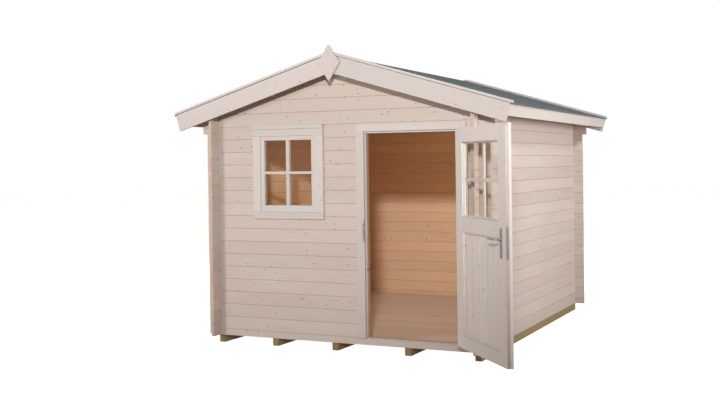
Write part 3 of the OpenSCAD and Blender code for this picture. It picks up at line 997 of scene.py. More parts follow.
class Fixings(GeometryTree):
    """Sets a screw or nail head on every point, square to its surface, each with its own turn."""

    def __init__(self) -> None:
        """Builds the tree."""
        super().__init__("fixings")
        unit = self.add_input("Head", "Object")
        facing = self.add_input("Facing", "Vector")
        seed = self.add_input("Seed", "Int")
        head = self.node("GeometryNodeObjectInfo", None, {"Object": unit})
        square = self.node("FunctionNodeAlignRotationToVector", {"axis": "Z"}, {"Vector": facing})
        turn = self.node("FunctionNodeAxisAngleToRotation", None, {
            "Axis": (0.0, 0.0, 1.0), "Angle": self.chance(math.tau, {"Seed": seed})})
        both = self.node("FunctionNodeRotateRotation", {"rotation_space": "LOCAL"}, {
            0: square.outputs[0], 1: turn.outputs[0]})
        heads = self.node("GeometryNodeInstanceOnPoints", None, {
            "Points": self.source.outputs["Geometry"], "Instance": head.outputs["Geometry"],
            "Rotation": both.outputs[0]})
        self.close(heads.outputs[0])


@dataclass(frozen=True)
class Head:
    """Head of a screw or nail: a low dome, with a cross recess where it is a screw."""

    name: str
    radius: float
    height: float
    recess: float = 0.0
    sides: int = 16
    dome: tuple[tuple[float, float], ...] = ((1.0, -0.4), (1.0, 0.35), (0.8, 0.8), (0.45, 1.0))
    waist: float = 0.32
    recess_floor: float = 0.25

    def ring(
        self, shape: bmesh.types.BMesh, radii: Sequence[float], height: float
    ) -> list[bmesh.types.BMVert]:
        """Adds one ring of points round the head's axis.

        Args:
            shape: The bmesh.
            radii: Radii that the points take in turn.
            height: Height over the surface.

        Returns:
            The points.
        """
        points = []
        for i in range(self.sides):
            radius, turn = radii[i % len(radii)], math.tau * i / self.sides
            points.append(shape.verts.new((radius * math.cos(turn), radius * math.sin(turn), height)))
        return points

    def build(self) -> bpy.types.Object:
        """Builds one head at the origin, facing up.

        Returns:
            The head, which isn't shown itself.
        """
        shape = bmesh.new()
        rings = [
            self.ring(shape, [self.radius * share], self.height * lift) for share, lift in self.dome]
        if self.recess:
            cross = [self.recess, *[self.recess * self.waist] * 3]
            rings.append(self.ring(shape, cross, self.height * self.recess_floor))
        shape.faces.new(rings[0][::-1])
        shape.faces.new(rings[-1])
        for lower, upper in zip(rings, rings[1:]):
            for i in range(self.sides):
                j = (i + 1) % self.sides
                shape.faces.new((lower[i], lower[j], upper[j], upper[i]))
        return write_mesh(self.name, shape)


@dataclass
class Kit:
    """What every sub-assembly works with: the finishes, the repeating tools and the fixings."""

    finishes: Finishes
    rows: BoardRow
    fixings: Fixings
    screw: Head = Head("screw_head", 0.0042, 0.0016, 0.0022)
    nail: Head = Head("nail_head", 0.0050, 0.0009)

    def heads(
        self, name: str, head: Head, points: Sequence[Vector], facing: Vector, finish: Finish
    ) -> None:
        """Sets fixings on points that face one way.

        Args:
            name: The piece's name.
            head: The kind of fixing.
            points: Where each one sits, on the surface.
            facing: The way that the surface faces.
            finish: The finish.
        """
        shape = bmesh.new()
        for point in points:
            shape.verts.new(point)
        piece = write_mesh(name, shape)
        unit = head.build()
        self.fixings.run(piece, {
            "Head": unit, "Facing": facing, "Seed": len(points), "Material": finish.material})
        bpy.data.objects.remove(unit)
        dress(piece, finish)

    def row(
        self, board: bpy.types.Object, count: int, pitch: float, seed: int, finish: Finish
    ) -> None:
        """Repeats a board from front to back, and gives each one its own number.

        Args:
            board: The first board, which becomes the row.
            count: How many there are.
            pitch: Distance from one to the next.
            seed: Seed of their numbers.
            finish: The finish.
        """
        board.data.attributes.remove(board.data.attributes["board"])
        self.rows.run(board, {
            "Count": count, "Step": (0.0, pitch, 0.0), "Seed": seed, "Material": finish.material})

    def timber(
        self,
        node: str,
        name: str,
        finish: Finish,
        grain: tuple[Vector, Vector],
        number: float,
        edge: float,
    ) -> None:
        """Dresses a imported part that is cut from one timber.

        Args:
            node: The part's name.
            name: The piece's name.
            finish: The finish.
            grain: Unit vectors along the fibres and across the face.
            number: The timber's own number.
            edge: Width of the rounding.
        """
        low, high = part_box(node)
        piece = rounded(from_node(node, name), edge)
        cut = Timber(*grain, (low + high) / 2, number)
        lay_grain(piece, lambda _: cut)
        dress(piece, finish, stands_for=[node])


class Boards:
    """Collects planed boards with rounded edges into one piece."""

    def __init__(self, name: str, turn: Matrix | None = None, edge: float = 0.0018) -> None:
        """Starts an empty piece.

        Args:
            name: The piece's name.
            turn: Puts the boards where they stand, if they are given elsewhere.
            edge: Width of the rounding.
        """
        self.name = name
        self.turn = turn or Matrix.Identity(4)
        self.edge = edge
        self.shape = bmesh.new()
        self.timbers: list[tuple[Vector, Vector, Timber]] = []

    def add(self, low: Vector, high: Vector, along: Vector, across: Vector, number: float) -> None:
        """Adds one board.

        Args:
            low: Its lowest corner.
            high: Its highest corner.
            along: Unit vector along its fibres.
            across: Unit vector across its face.
            number: Its own number.
        """
        prism(
            self.shape, [(low.x, low.y), (high.x, low.y), (high.x, high.y), (low.x, high.y)],
            lambda a, b, c: Vector((a, b, c)), high.z, low.z)
        self.timbers.append((low, high, Timber(along, across, (low + high) / 2, number)))

    def cross(
        self, low: Vector, high: Vector, wide: float, tall: float, upright: float, halves: float
    ) -> None:
        """Adds crossed glazing bars: an upright, and a rail in two halves.

        Args:
            low: Lowest corner of the opening, on the bars' outer face.
            high: Highest corner of the opening, on the bars' inner face.
            wide: Width of the upright.
            tall: Height of the rail.
            upright: Number of the upright.
            halves: Number of the halves, to which each adds its place.
        """
        x, z = (low.x + high.x) / 2, (low.z + high.z) / 2
        left, right, foot, top = x - wide / 2, x + wide / 2, z - tall / 2, z + tall / 2
        self.add(Vector((left, low.y, low.z)), Vector((right, high.y, high.z)), UP, RIGHT, upright)
        for start, stop in ((low.x, left), (right, high.x)):
            self.add(
                Vector((start, low.y, foot)), Vector((stop, high.y, top)), RIGHT, UP, halves + start)

    def timber_at(self, point: Vector) -> Timber:
        """The timber of the board whose box is nearest to a point."""
        def away(item: tuple[Vector, Vector, Timber]) -> float:
            """Square of the distance from the point to a board's box."""
            low, high, _ = item
            return sum(max(low[i] - point[i], point[i] - high[i], 0.0) ** 2 for i in range(3))

        return min(self.timbers, key=away)[2]

    def build(self) -> bpy.types.Object:
        """Rounds the boards, lays their grain and puts them in place.

        Returns:
            The piece.
        """
        bmesh.ops.recalc_face_normals(self.shape, faces=self.shape.faces)
        piece = rounded(write_mesh(self.name, self.shape), self.edge)
        lay_grain(piece, self.timber_at)
        piece.data.transform(self.turn)
        return piece


@dataclass
class Foundation:
    """Five impregnated beams on the ground."""

    count: int = 5
    edge: float = 0.002

    def build(self, kit: Kit) -> None:
        """Builds the beams.

        Args:
            kit: Finishes and tools.
        """
        beams = kit.finishes.beams
        for i in range(1, self.count + 1):
            kit.timber(f"foundation_beam_{i}", f"beam_{i}", beams, (BACK, RIGHT), 3.7 * i, self.edge)


@dataclass
class Floor:
    """Tongued floor boards along the front, laid from the door to the back."""

    boards: int = 28
    joint: float = 0.0012
    edge: float = 0.0012
    seed: int = 4

    def build(self, kit: Kit) -> None:
        """Builds the floor.

        Args:
            kit: Finishes and tools.
        """
        low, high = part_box("floor")
        pitch = (high.y - low.y) / self.boards
        first = Boards("floor_boards", edge=self.edge)
        first.add(low, Vector((high.x, low.y + pitch - self.joint, high.z)), RIGHT, BACK, 0.0)
        piece = first.build()
        kit.row(piece, self.boards, pitch, self.seed, kit.finishes.floor)
        dress(piece, kit.finishes.floor, stands_for=["floor"])


@dataclass
class LogWalls:
    """Walls of stacked logs: each course has its own grain, and the ends show their rings."""

    course: float = 0.114
    front_joint: float = 0.127
    side_joint: float = 0.070

    def wall(self, kit: Kit, node: str, along: Vector, joint: float, number: float) -> None:
        """Builds one wall.

        Args:
            kit: Finishes and tools.
            node: The wall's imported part.
            along: Unit vector along its logs.
            joint: Height of its lowest joint.
            number: Number of its first log.
        """
        low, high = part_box(node)
        first = math.floor((low.z - joint) / self.course)
        last = math.ceil((high.z - joint) / self.course)
        cuts = [(UP * (joint + k * self.course), UP) for k in range(first, last + 1)]
        piece = from_node(node, f"{node}_logs", cuts)
        middle = (low + high) / 2

        def log_at(point: Vector) -> Timber:
            """The log of the course that a point is in."""
            k = math.floor((point.z - joint) / self.course)
            heart = Vector((middle.x, middle.y, joint + (k + 0.5) * self.course))
            return Timber(along, UP, heart, number + 2.37 * k)

        lay_grain(piece, log_at)
        dress(piece, kit.finishes.logs, stands_for=[node])

    def build(self, kit: Kit) -> None:
        """Builds the walls.

        Args:
            kit: Finishes and tools.
        """
        fronts = ("front_foot_log", "front_wall_left", "front_wall_right", "front_gable", "back_wall")
        for number, node in enumerate(fronts, start=1):
            self.wall(kit, node, RIGHT, self.front_joint, 41.0 * number)
        for number, node in enumerate(("left_wall", "right_wall"), start=7):
            self.wall(kit, node, BACK, self.side_joint, 41.0 * number)


@dataclass
class Slope:
    """One side of the roof, with places down the slope, over the boards' underside and along Y."""

    side: Side
    ridge: Vector
    pitch: float

    @property
    def end(self) -> str:
        """The side's word in the names of parts."""
        return self.side.name.lower()

    @property
    def down(self) -> Vector:
        """Unit vector down the slope."""
        return Vector((self.side.value * math.cos(self.pitch), 0, -math.sin(self.pitch)))

    @property
    def over(self) -> Vector:
        """Unit vector square to the slope, outwards."""
        return Vector((self.side.value * math.sin(self.pitch), 0, math.cos(self.pitch)))

    def at(self, along: float, height: float, y: float) -> Vector:
        """A point from its place down the slope, over the boards' underside, and along the ridge."""
        return self.ridge + self.down * along + self.over * height + BACK * y

    def reach(self, node: str) -> float:
        """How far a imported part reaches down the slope."""
        return max((v.co - self.ridge).dot(self.down) for v in frame["nodes"][node].data.vertices)


@dataclass
class Roof:
    """Purlins, roof boards, felt, eave boards, bargeboards, caps and the gable plate."""

    pitch: float = math.radians(16)
    deck: float = 0.016
    boards: int = 32
    board_edge: float = 0.0016
    board_joint: float = 0.0008
    ridge_gap: float = 0.00015
    felt_low: float = 0.0163
    felt_top: float = 0.0193
    felt_columns: int = 72
    lap: float = 0.0013
    lap_step: float = 0.0008
    ridge_strip: float = 0.17
    lap_start: float = 0.70
    lap_end: float = 0.80
    drip: float = 0.010
    ripple: float = 0.0004
    edge: float = 0.0022
    nail_step: float = 0.118
    nail_row: float = 0.03
    nail_proud: float = 0.0004
    nail_margin: float = 0.10
    nail_stray: float = 0.02
    screw_places: tuple[float, ...] = (0.20, 0.676, 1.20)
    screw_end: float = 0.03
    screw_heights: tuple[float, ...] = (-0.10, -0.02)
    plate_screws: tuple[tuple[float, float], ...] = (
        (0.0, 0.085), (0.0, -0.085), (-0.055, 0.0), (0.055, 0.0))

    def slope(self, side: Side) -> Slope:
        """The frame of one side of the roof."""
        low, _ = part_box("roof_boards_left")
        _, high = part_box("roof_boards_right")
        ridge = Vector(((low.x + high.x) / 2, 0, high.z - self.deck / math.cos(self.pitch)))
        return Slope(side, ridge, self.pitch)

    def deck_boards(self, kit: Kit, slope: Slope) -> None:
        """Lays the boards of one side, which run from the ridge down to the eave.

        Args:
            kit: Finishes and tools.
            slope: The side's frame.
        """
        node = f"roof_boards_{slope.end}"
        low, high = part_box(node)
        pitch = (high.y - low.y) / self.boards
        reach = slope.reach(node)
        ridge_top = self.ridge_gap - self.deck * math.tan(self.pitch)
        section = [(self.ridge_gap, 0.0), (reach, 0.0), (reach, self.deck), (ridge_top, self.deck)]
        half_joint = self.board_joint / 2
        shape = bmesh.new()
        prism(shape, section, slope.at, low.y + half_joint, low.y + pitch - half_joint)
        bmesh.ops.recalc_face_normals(shape, faces=shape.faces)
        piece = rounded(write_mesh(f"roof_deck_{slope.end}", shape), self.board_edge, 1)
        middle = slope.at(reach / 2, self.deck / 2, low.y + pitch / 2)
        lay_grain(piece, lambda _: Timber(slope.down, BACK, middle, 0.0))
        kit.row(piece, self.boards, pitch, 11 + slope.side.value, kit.finishes.roof)
        dress(piece, kit.finishes.roof, stands_for=[node])

    def felt_heights(self, reach: float) -> list[tuple[float, float]]:
        """Top of the felt from the ridge down, with the ridge strip and the lap of two strips.

        Args:
            reach: How far the felt reaches down the slope.

        Returns:
            Places down the slope and heights.
        """
        top = self.felt_top
        proud = top + self.lap
        places = [(0.0, proud), (self.ridge_strip, proud), (self.ridge_strip + self.lap_step, top)]
        places += [(self.ridge_strip + 0.05 * k, top) for k in range(1, 10)]
        places += [(self.lap_start - 0.02, top), (self.lap_start + 0.005, proud)]
        places += [(self.lap_end, proud), (self.lap_end + self.lap_step, top)]
        steps = 14
        start = self.lap_end + 0.03
        places += [(start + (reach - start) * k / steps, top) for k in range(steps + 1)]
        return places

    def felt_lift(self, place: float, y: float, reach: float, side: Side) -> float:
        """How much the felt's waves lift it, with none at the ridge and at the eave.

        Args:
            place: Distance down the slope.
            y: Place along the ridge.
            reach: How far the felt reaches down the slope.
            side: The side of the roof.

        Returns:
            The lift in metres.
        """
        inside = min(1.0, place / 0.15) * min(1.0, (reach - place) / 0.06)
        broad = math.sin(9.1 * place + 3.3 * y + side.value) * math.sin(5.7 * y + 2.1 * place)
        fine = 0.5 * math.sin(21.0 * y + 13.0 * place)
        return self.ripple * inside * (1.0 + broad + fine)

    def felt(self, kit: Kit, slope: Slope) -> None:
        """Lays the felt of one side, slightly uneven, with its edge turned down at the eave.

        Args:
            kit: Finishes and tools.
            slope: The side's frame.
        """
        node = f"roofing_felt_{slope.end}"
        low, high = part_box(node)
        reach = slope.reach(node)
        lean = math.tan(self.pitch)
        heights = self.felt_heights(reach)
        under = [(-self.felt_low * lean, self.felt_low)]
        under += [(place, self.felt_low) for place, _ in heights[1:-1]]
        turned = reach - (self.felt_top - self.felt_low)
        under += [(turned, self.felt_low), (turned, self.felt_top - self.drip)]
        shape = bmesh.new()
        top_rows: list[list[bmesh.types.BMVert]] = []
        low_rows: list[list[bmesh.types.BMVert]] = []
        for j in range(self.felt_columns + 1):
            y = low.y + (high.y - low.y) * j / self.felt_columns
            top = [
                (place if place else -height * lean,
                 height + self.felt_lift(place, y, reach, slope.side))
                for place, height in heights
            ]
            top.append((reach, self.felt_top - self.drip))
            top_rows.append([shape.verts.new(slope.at(*spot, y)) for spot in top])
            low_rows.append([shape.verts.new(slope.at(*spot, y)) for spot in under])
        for j in range(self.felt_columns):
            top, top_next, under, under_next = (
                top_rows[j], top_rows[j + 1], low_rows[j], low_rows[j + 1])
            for k in range(len(heights)):
                shape.faces.new((top[k], top[k + 1], top_next[k + 1], top_next[k]))
                shape.faces.new((under[k], under_next[k], under_next[k + 1], under[k + 1]))
            for k in (0, -1):
                shape.faces.new((top[k], top_next[k], under_next[k], under[k]))
        for top, under in ((top_rows[0], low_rows[0]), (top_rows[-1], low_rows[-1])):
            for k in range(len(heights)):
                shape.faces.new((top[k], under[k], under[k + 1], top[k + 1]))
        bmesh.ops.recalc_face_normals(shape, faces=shape.faces)
        dress(write_mesh(f"felt_{slope.end}", shape), kit.finishes.felt, stands_for=[node])

    def nails(self, kit: Kit, slope: Slope) -> None:
        """Nails the felt in rows over the eave, the lap and the ridge strip's edge.

        Args:
            kit: Finishes and tools.
            slope: The side's frame.
        """
        node = f"roofing_felt_{slope.end}"
        low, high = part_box(node)
        start, stop = low.y + self.nail_margin, high.y - self.nail_margin
        count = math.floor((stop - start) / self.nail_step)
        points = []
        for strip_end in (slope.reach(node), self.lap_end, self.ridge_strip):
            place = strip_end - self.nail_row
            height = self.felt_top + (self.lap if place < self.lap_end else 0.0) + self.nail_proud
            for k in range(count + 1):
                stray = self.nail_stray * math.sin(7.0 * k + place)
                points.append(slope.at(place, height, start + self.nail_step * k + stray))
        kit.heads(f"felt_nails_{slope.end}", kit.nail, points, slope.over, kit.finishes.nails)

    def trim(self, kit: Kit, slope: Slope, number: float) -> None:
        """Dresses the eave board, bargeboards and caps of one side.

        Args:
            kit: Finishes and tools.
            slope: The side's frame.
            number: Number of the first board.
        """
        trim, end = kit.finishes.trim, slope.end
        grain = (BACK, slope.over)
        kit.timber(f"eave_board_{end}", f"eave_fascia_{end}", trim, grain, number, self.edge)
        parts = ("front_bargeboard", "back_bargeboard", "front_cap", "back_cap")
        for index, part in enumerate(parts, start=1):
            node = f"{part}_{end}"
            grain = (slope.down, BACK if part.endswith("cap") else slope.over)
            kit.timber(node, f"{node}_board", trim, grain, number + 5.3 * index, self.edge)

    def screws(self, kit: Kit, slope: Slope) -> None:
        """Screws the bargeboards to the purlins and the eave boards.

        Args:
            kit: Finishes and tools.
            slope: The side's frame.
        """
        for gable, facing in (("front", -BACK), ("back", BACK)):
            node = f"{gable}_bargeboard_{slope.end}"
            low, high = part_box(node)
            y = low.y if gable == "front" else high.y
            places = (*self.screw_places, slope.reach(node) - self.screw_end)
            points = [slope.at(place, height, y) for place in places for height in self.screw_heights]
            name = f"{gable}_bargeboard_screws_{slope.end}"
            kit.heads(name, kit.screw, points, facing, kit.finishes.steel)

    def gable_plate(self, kit: Kit) -> None:
        """Screws the diamond plate to the front gable's peak.

        Args:
            kit: Finishes and tools.
        """
        node = "front_gable_plate"
        kit.timber(node, f"{node}_board", kit.finishes.trim, (UP, RIGHT), 61.0, self.edge)
        low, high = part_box(node)
        middle = (low + high) / 2
        points = [Vector((middle.x + dx, low.y, middle.z + dz)) for dx, dz in self.plate_screws]
        kit.heads("gable_plate_screws", kit.screw, points, -BACK, kit.finishes.steel)

    def build(self, kit: Kit) -> None:
        """Builds the roof.

        Args:
            kit: Finishes and tools.
        """
        for number, node in enumerate(("ridge_purlin", "left_purlin", "right_purlin"), start=1):
            kit.timber(node, f"{node}_timber", kit.finishes.roof, (BACK, UP), 9.1 * number, self.edge)
        for side in Side:
            slope = self.slope(side)
            self.deck_boards(kit, slope)
            self.felt(kit, slope)
            self.nails(kit, slope)
            self.trim(kit, slope, 30.0 + 17.0 * side.value)
            self.screws(kit, slope)
        self.gable_plate(kit)


@dataclass
class Doorway:
    """Jambs with their casings, head, threshold and strike plate."""

    edge: float = 0.002
    plate_edge: float = 0.0004
    screw_in: float = 0.008
    screw_end: float = 0.02

    def build(self, kit: Kit) -> None:
        """Builds the doorway.

        Args:
            kit: Finishes and tools.
        """
        parts = (
            ("door_jamb_left", (UP, RIGHT)), ("door_jamb_right", (UP, RIGHT)),
            ("door_head", (RIGHT, UP)), ("door_threshold", (RIGHT, BACK)))
        for number, (node, grain) in enumerate(parts, start=1):
            kit.timber(node, f"{node}_wood", kit.finishes.trim, grain, 13.7 * number, self.edge)
        plate = rounded(from_node("strike_plate", "strike_plate_steel"), self.plate_edge)
        dress(plate, kit.finishes.steel, stands_for=["strike_plate"])
        low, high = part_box("strike_plate")
        heights = (low.z + self.screw_end, high.z - self.screw_end)
        points = [Vector((low.x + self.screw_in, low.y, z)) for z in heights]
        kit.heads("strike_screws", kit.screw, points, -BACK, kit.finishes.steel)


@dataclass
class DoorLeaf:
    """The half-glazed leaf, its hinges, lock and lever."""

    muntin: float = 0.028
    muntin_depth: float = 0.015
    muntin_edge: float = 0.0025
    rim: float = 0.0099
    bead: float = 0.012
    bead_edge: float = 0.004
    bead_back: float = 0.001
    edge: float = 0.0022
    steel_edge: float = 0.0005
    panel_boards: int = 7

    def __post_init__(self) -> None:
        """Finds how the shut door turns to where it stands open."""
        swing = next(joint for joint in frame["joints"] if joint["name"] == "door_swing")
        axis = Vector(swing["pos_m"])
        self.open = (
            Matrix.Translation(axis)
            @ Matrix.Rotation(math.radians(-swing["range_deg"][0]), 4, "Z")
            @ Matrix.Translation(-axis)
        )
        self.shut = self.open.inverted()

    def shut_box(self, node: str) -> tuple[Vector, Vector]:
        """Lowest and highest corner of a part when the door is shut."""
        mesh = frame["nodes"][node].data
        places = np.array([tuple(self.shut @ vertex.co) for vertex in mesh.vertices])
        return Vector(places.min(0)), Vector(places.max(0))

    def upright_cut(self, x: float) -> tuple[Vector, Vector]:
        """A plane through the open leaf that stands at x on the shut one."""
        return self.open @ (RIGHT * x), self.open.to_3x3() @ RIGHT

    def stiles_and_rails(self, kit: Kit) -> None:
        """Dresses the leaf's frame, whose stiles and rails each have their own grain.

        Args:
            kit: Finishes and tools.
        """
        low, high = self.shut_box("leaf_frame")
        glass_low, glass_high = self.shut_box("leaf_glass")
        panel_low, panel_high = self.shut_box("leaf_panel")
        left, right = glass_low.x, glass_high.x
        cuts = [self.upright_cut(left), self.upright_cut(right)]
        piece = from_node("leaf_frame", "leaf_frame_wood", cuts)
        middle = (low + high) / 2
        rails = (
            (low.z + panel_low.z) / 2, (panel_high.z + glass_low.z) / 2, (glass_high.z + high.z) / 2)
        left_stile = Timber(UP, RIGHT, Vector(((low.x + left) / 2, middle.y, middle.z)), 5.5)
        right_stile = Timber(UP, RIGHT, Vector(((high.x + right) / 2, middle.y, middle.z)), 8.25)

        def member(point: Vector) -> Timber:
            """The stile or rail that a point is in."""
            if point.x < left:
                return left_stile
            if point.x > right:
                return right_stile
            z = min(rails, key=lambda height: abs(height - point.z))
            return Timber(RIGHT, UP, Vector((middle.x, middle.y, z)), 12.0 + z * 3.0)

        lay_grain(piece, member, self.shut)
        dress(rounded(piece, self.edge), kit.finishes.leaf, Body.LEAF, ["leaf_frame"])

    def panel(self, kit: Kit) -> None:
        """Dresses the boarded panel.

        Args:
            kit: Finishes and tools.
        """
        low, high = self.shut_box("leaf_panel")
        pitch = (high.x - low.x) / self.panel_boards
        cuts = [self.upright_cut(low.x + k * pitch) for k in range(1, self.panel_boards)]
        piece = from_node("leaf_panel", "leaf_panel_boards", cuts)
        middle = (low + high) / 2

        def board_at(point: Vector) -> Timber:
            """The board that a point is in."""
            k = math.floor((point.x - low.x) / pitch)
            heart = Vector((low.x + (k + 0.5) * pitch, middle.y, middle.z))
            return Timber(UP, RIGHT, heart, 19.0 + 3.3 * k)

        lay_grain(piece, board_at, self.shut)
        dress(piece, kit.finishes.leaf, Body.LEAF, ["leaf_panel"])

    def bead_ring(
        self, beads: Boards, low: Vector, high: Vector, start: float, stop: float, number: float
    ) -> None:
        """Adds four beads inside an opening, with uprights of its full height.

        Args:
            beads: The piece that they go to.
            low: Lowest corner of the opening.
            high: Highest corner of the opening.
            start: Where the beads start, from front to back.
            stop: Where they end.
            number: Number of the first.
        """
        left, right = low.x + self.bead, high.x - self.bead
        for k, (x0, x1, z0, z1, along, across) in enumerate((
            (low.x, left, low.z, high.z, UP, RIGHT),
            (right, high.x, low.z, high.z, UP, RIGHT),
            (left, right, low.z, low.z + self.bead, RIGHT, UP),
            (left, right, high.z - self.bead, high.z, RIGHT, UP),
        )):
            beads.add(Vector((x0, start, z0)), Vector((x1, stop, z1)), along, across, number + 2 * k)

    def glazing(self, kit: Kit) -> None:
        """Adds the pane, the crossed bars on its outer face, and the beads of pane and panel.

        Args:
            kit: Finishes and tools.
        """
        dress(from_node("leaf_glass", "leaf_pane"), kit.finishes.glass, Body.LEAF, ["leaf_glass"])
        low, high = self.shut_box("leaf_glass")
        face = low.y - GLASS_GAP
        bars = Boards("leaf_muntins", self.open, self.muntin_edge)
        bars.cross(
            Vector((low.x + self.rim, face - self.muntin_depth, low.z + self.rim)),
            Vector((high.x - self.rim, face, high.z - self.rim)),
            self.muntin, self.muntin, upright=71.0, halves=77.0)
        dress(bars.build(), kit.finishes.leaf, Body.LEAF)

        _, frame_high = self.shut_box("leaf_frame")
        panel_low, panel_high = self.shut_box("leaf_panel")
        beads = Boards("leaf_beads", self.open, self.bead_edge)
        start = high.y + GLASS_GAP
        self.bead_ring(beads, low, high, start, start + self.bead, 81.0)
        start = panel_high.y + GLASS_GAP
        stop = min(start + self.bead, frame_high.y - self.bead_back)
        self.bead_ring(beads, panel_low, panel_high, start, stop, 91.0)
        dress(beads.build(), kit.finishes.leaf, Body.LEAF)

    def hardware(self, kit: Kit) -> None:
        """Dresses the lock with its plates, the lever and the hinges.

        Args:
            kit: Finishes and tools.
        """
        steel = kit.finishes.steel
        lock = rounded(from_node("lock_set", "lock_plates"), self.steel_edge, 1)
        dress(lock, steel, Body.LEAF, ["lock_set"])
        dress(from_node("door_lever", "lever_handle"), steel, Body.LEVER, ["door_lever"])
        for part, body in (("leaf_hinge", Body.LEAF), ("frame_hinge", Body.HOUSE)):
            for level in ("upper", "lower"):
                node = f"{part}_{level}"
                piece = rounded(from_node(node, f"{node}_steel"), self.steel_edge, 1)
                dress(piece, steel, body, [node])

    def build(self, kit: Kit) -> None:
        """Builds the leaf.

        Args:
            kit: Finishes and tools.
        """
        self.stiles_and_rails(kit)
        self.panel(kit)
        self.glazing(kit)
        self.hardware(kit)


@dataclass
class Window:
    """The fixed window: casing, drip board, sash, glass and crossed bars."""

    upright: float = 0.078
    rail: float = 0.060
    casing_t: float = 0.016
    drip: float = 0.034
    drip_out: float = 0.008
    lap: float = 0.0223
    stile: float = 0.042
    top_rail: float = 0.038
    foot_rail: float = 0.060
    sash_edge: float = 0.0025
    bar_upright: float = 0.034
    bar_cross: float = 0.024
    bar_depth: float = 0.012
    bar_face: float = 0.005
    bar_lap: float = 0.020
    bar_edge: float = 0.002

    def ring(
        self,
        boards: Boards,
        low: Vector,
        high: Vector,
        upright: float,
        foot: float,
        top: float,
        number: float,
    ) -> None:
        """Adds four boards round an opening: two uprights between a head and a foot.

        Args:
            boards: The piece that they go to.
            low: Lowest corner over the boards.
            high: Highest corner over the boards.
            upright: Width of the uprights.
            foot: Height of the lowest board.
            top: Height of the highest board.
            number: Number of the first.
        """
        z0, z1 = low.z + foot, high.z - top
        for x0, x1, step in ((low.x, low.x + upright, 0.0), (high.x - upright, high.x, 1.7)):
            boards.add(Vector((x0, low.y, z0)), Vector((x1, high.y, z1)), UP, RIGHT, number + step)
        boards.add(low, Vector((high.x, high.y, z0)), RIGHT, UP, number + 3.1)
        boards.add(Vector((low.x, low.y, z1)), high, RIGHT, UP, number + 4.9)

    def surround(self, kit: Kit) -> None:
        """Builds the casings, the lining between them and the drip board.

        Args:
            kit: Finishes and tools.
        """
        low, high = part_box("window_casing")
        face = low.y + self.drip_out
        front = face + self.casing_t
        inner_face = high.y - self.casing_t
        top = high.z - self.drip
        boards = Boards("window_casing_boards")
        for start, stop, lap, number in (
            (face, front, 0.0, 101.0),
            (inner_face, high.y, 0.0, 111.0),
            (front, inner_face, self.lap, 121.0),
        ):
            rail = self.rail - lap
            self.ring(
                boards, Vector((low.x + lap, start, low.z + lap)),
                Vector((high.x - lap, stop, top - lap)), self.upright - lap, rail, rail, number)
        boards.add(Vector((low.x, low.y, top)), Vector((high.x, front, high.z)), RIGHT, UP, 131.0)
        dress(boards.build(), kit.finishes.trim, stands_for=["window_casing"])

    def bars(self, kit: Kit) -> None:
        """Adds the crossed bars on both sides of the pane, and the rail that laps the sash.

        Args:
            kit: Finishes and tools.
        """
        low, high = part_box("window_sash")
        pane_low, pane_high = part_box("window_glass")
        left, right = low.x + self.stile, high.x - self.stile
        foot, top = low.z + self.foot_rail, high.z - self.top_rail
        inner = pane_high.y + GLASS_GAP
        bars = Boards("window_muntins", edge=self.bar_edge)
        for start, stop in ((low.y, pane_low.y - GLASS_GAP), (inner, inner + self.bar_depth)):
            bars.cross(
                Vector((left, start, foot)), Vector((right, stop, top)),
                self.bar_upright, self.bar_cross, upright=151.0, halves=155.0)
        z, tall = (foot + top) / 2, self.bar_cross / 2
        bars.add(
            Vector((left - self.bar_lap, low.y - self.bar_face, z - tall)),
            Vector((right + self.bar_lap, low.y - GLASS_GAP, z + tall)), RIGHT, UP, 155.0 + left)
        dress(bars.build(), kit.finishes.trim)

    def build(self, kit: Kit) -> None:
        """Builds the window.

        Args:
            kit: Finishes and tools.
        """
        self.surround(kit)
        low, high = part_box("window_sash")
        sash = Boards("window_sash_frame", edge=self.sash_edge)
        self.ring(sash, low, high, self.stile, self.foot_rail, self.top_rail, 141.0)
        dress(sash.build(), kit.finishes.trim, stands_for=["window_sash"])
        pane = from_node("window_glass", "window_pane")
        dress(pane, kit.finishes.glass, stands_for=["window_glass"])
        self.bars(kit)


@dataclass(frozen=True)
class Lamp:
    """One lamp of the studio: a soft disc, or a beam where it has a cone."""

    name: str
    place: Vector
    target: Vector
    size: float
    power: float
    cone: float = 0.0
    colour: Colour = WHITE
    seen: bool = True

    def build(self) -> None:
        """Hangs the lamp."""
        data = bpy.data.lights.new(self.name, "SPOT" if self.cone else "AREA")
        if self.cone:
            data.shadow_soft_size = self.size / 2
            data.spot_size = math.radians(self.cone)
            data.spot_blend = 1.0
        else:
            data.shape = "DISK"
            data.size = self.size
        data.energy = self.power
        data.color = self.colour[:3]
        lamp = bpy.data.objects.new(self.name, data)
        lamp.location = self.place
        lamp.rotation_euler = (self.target - self.place).to_track_quat("-Z", "Y").to_euler()
        lamp.visible_camera = False
        lamp.visible_glossy = self.seen
        bpy.context.scene.collection.objects.link(lamp)


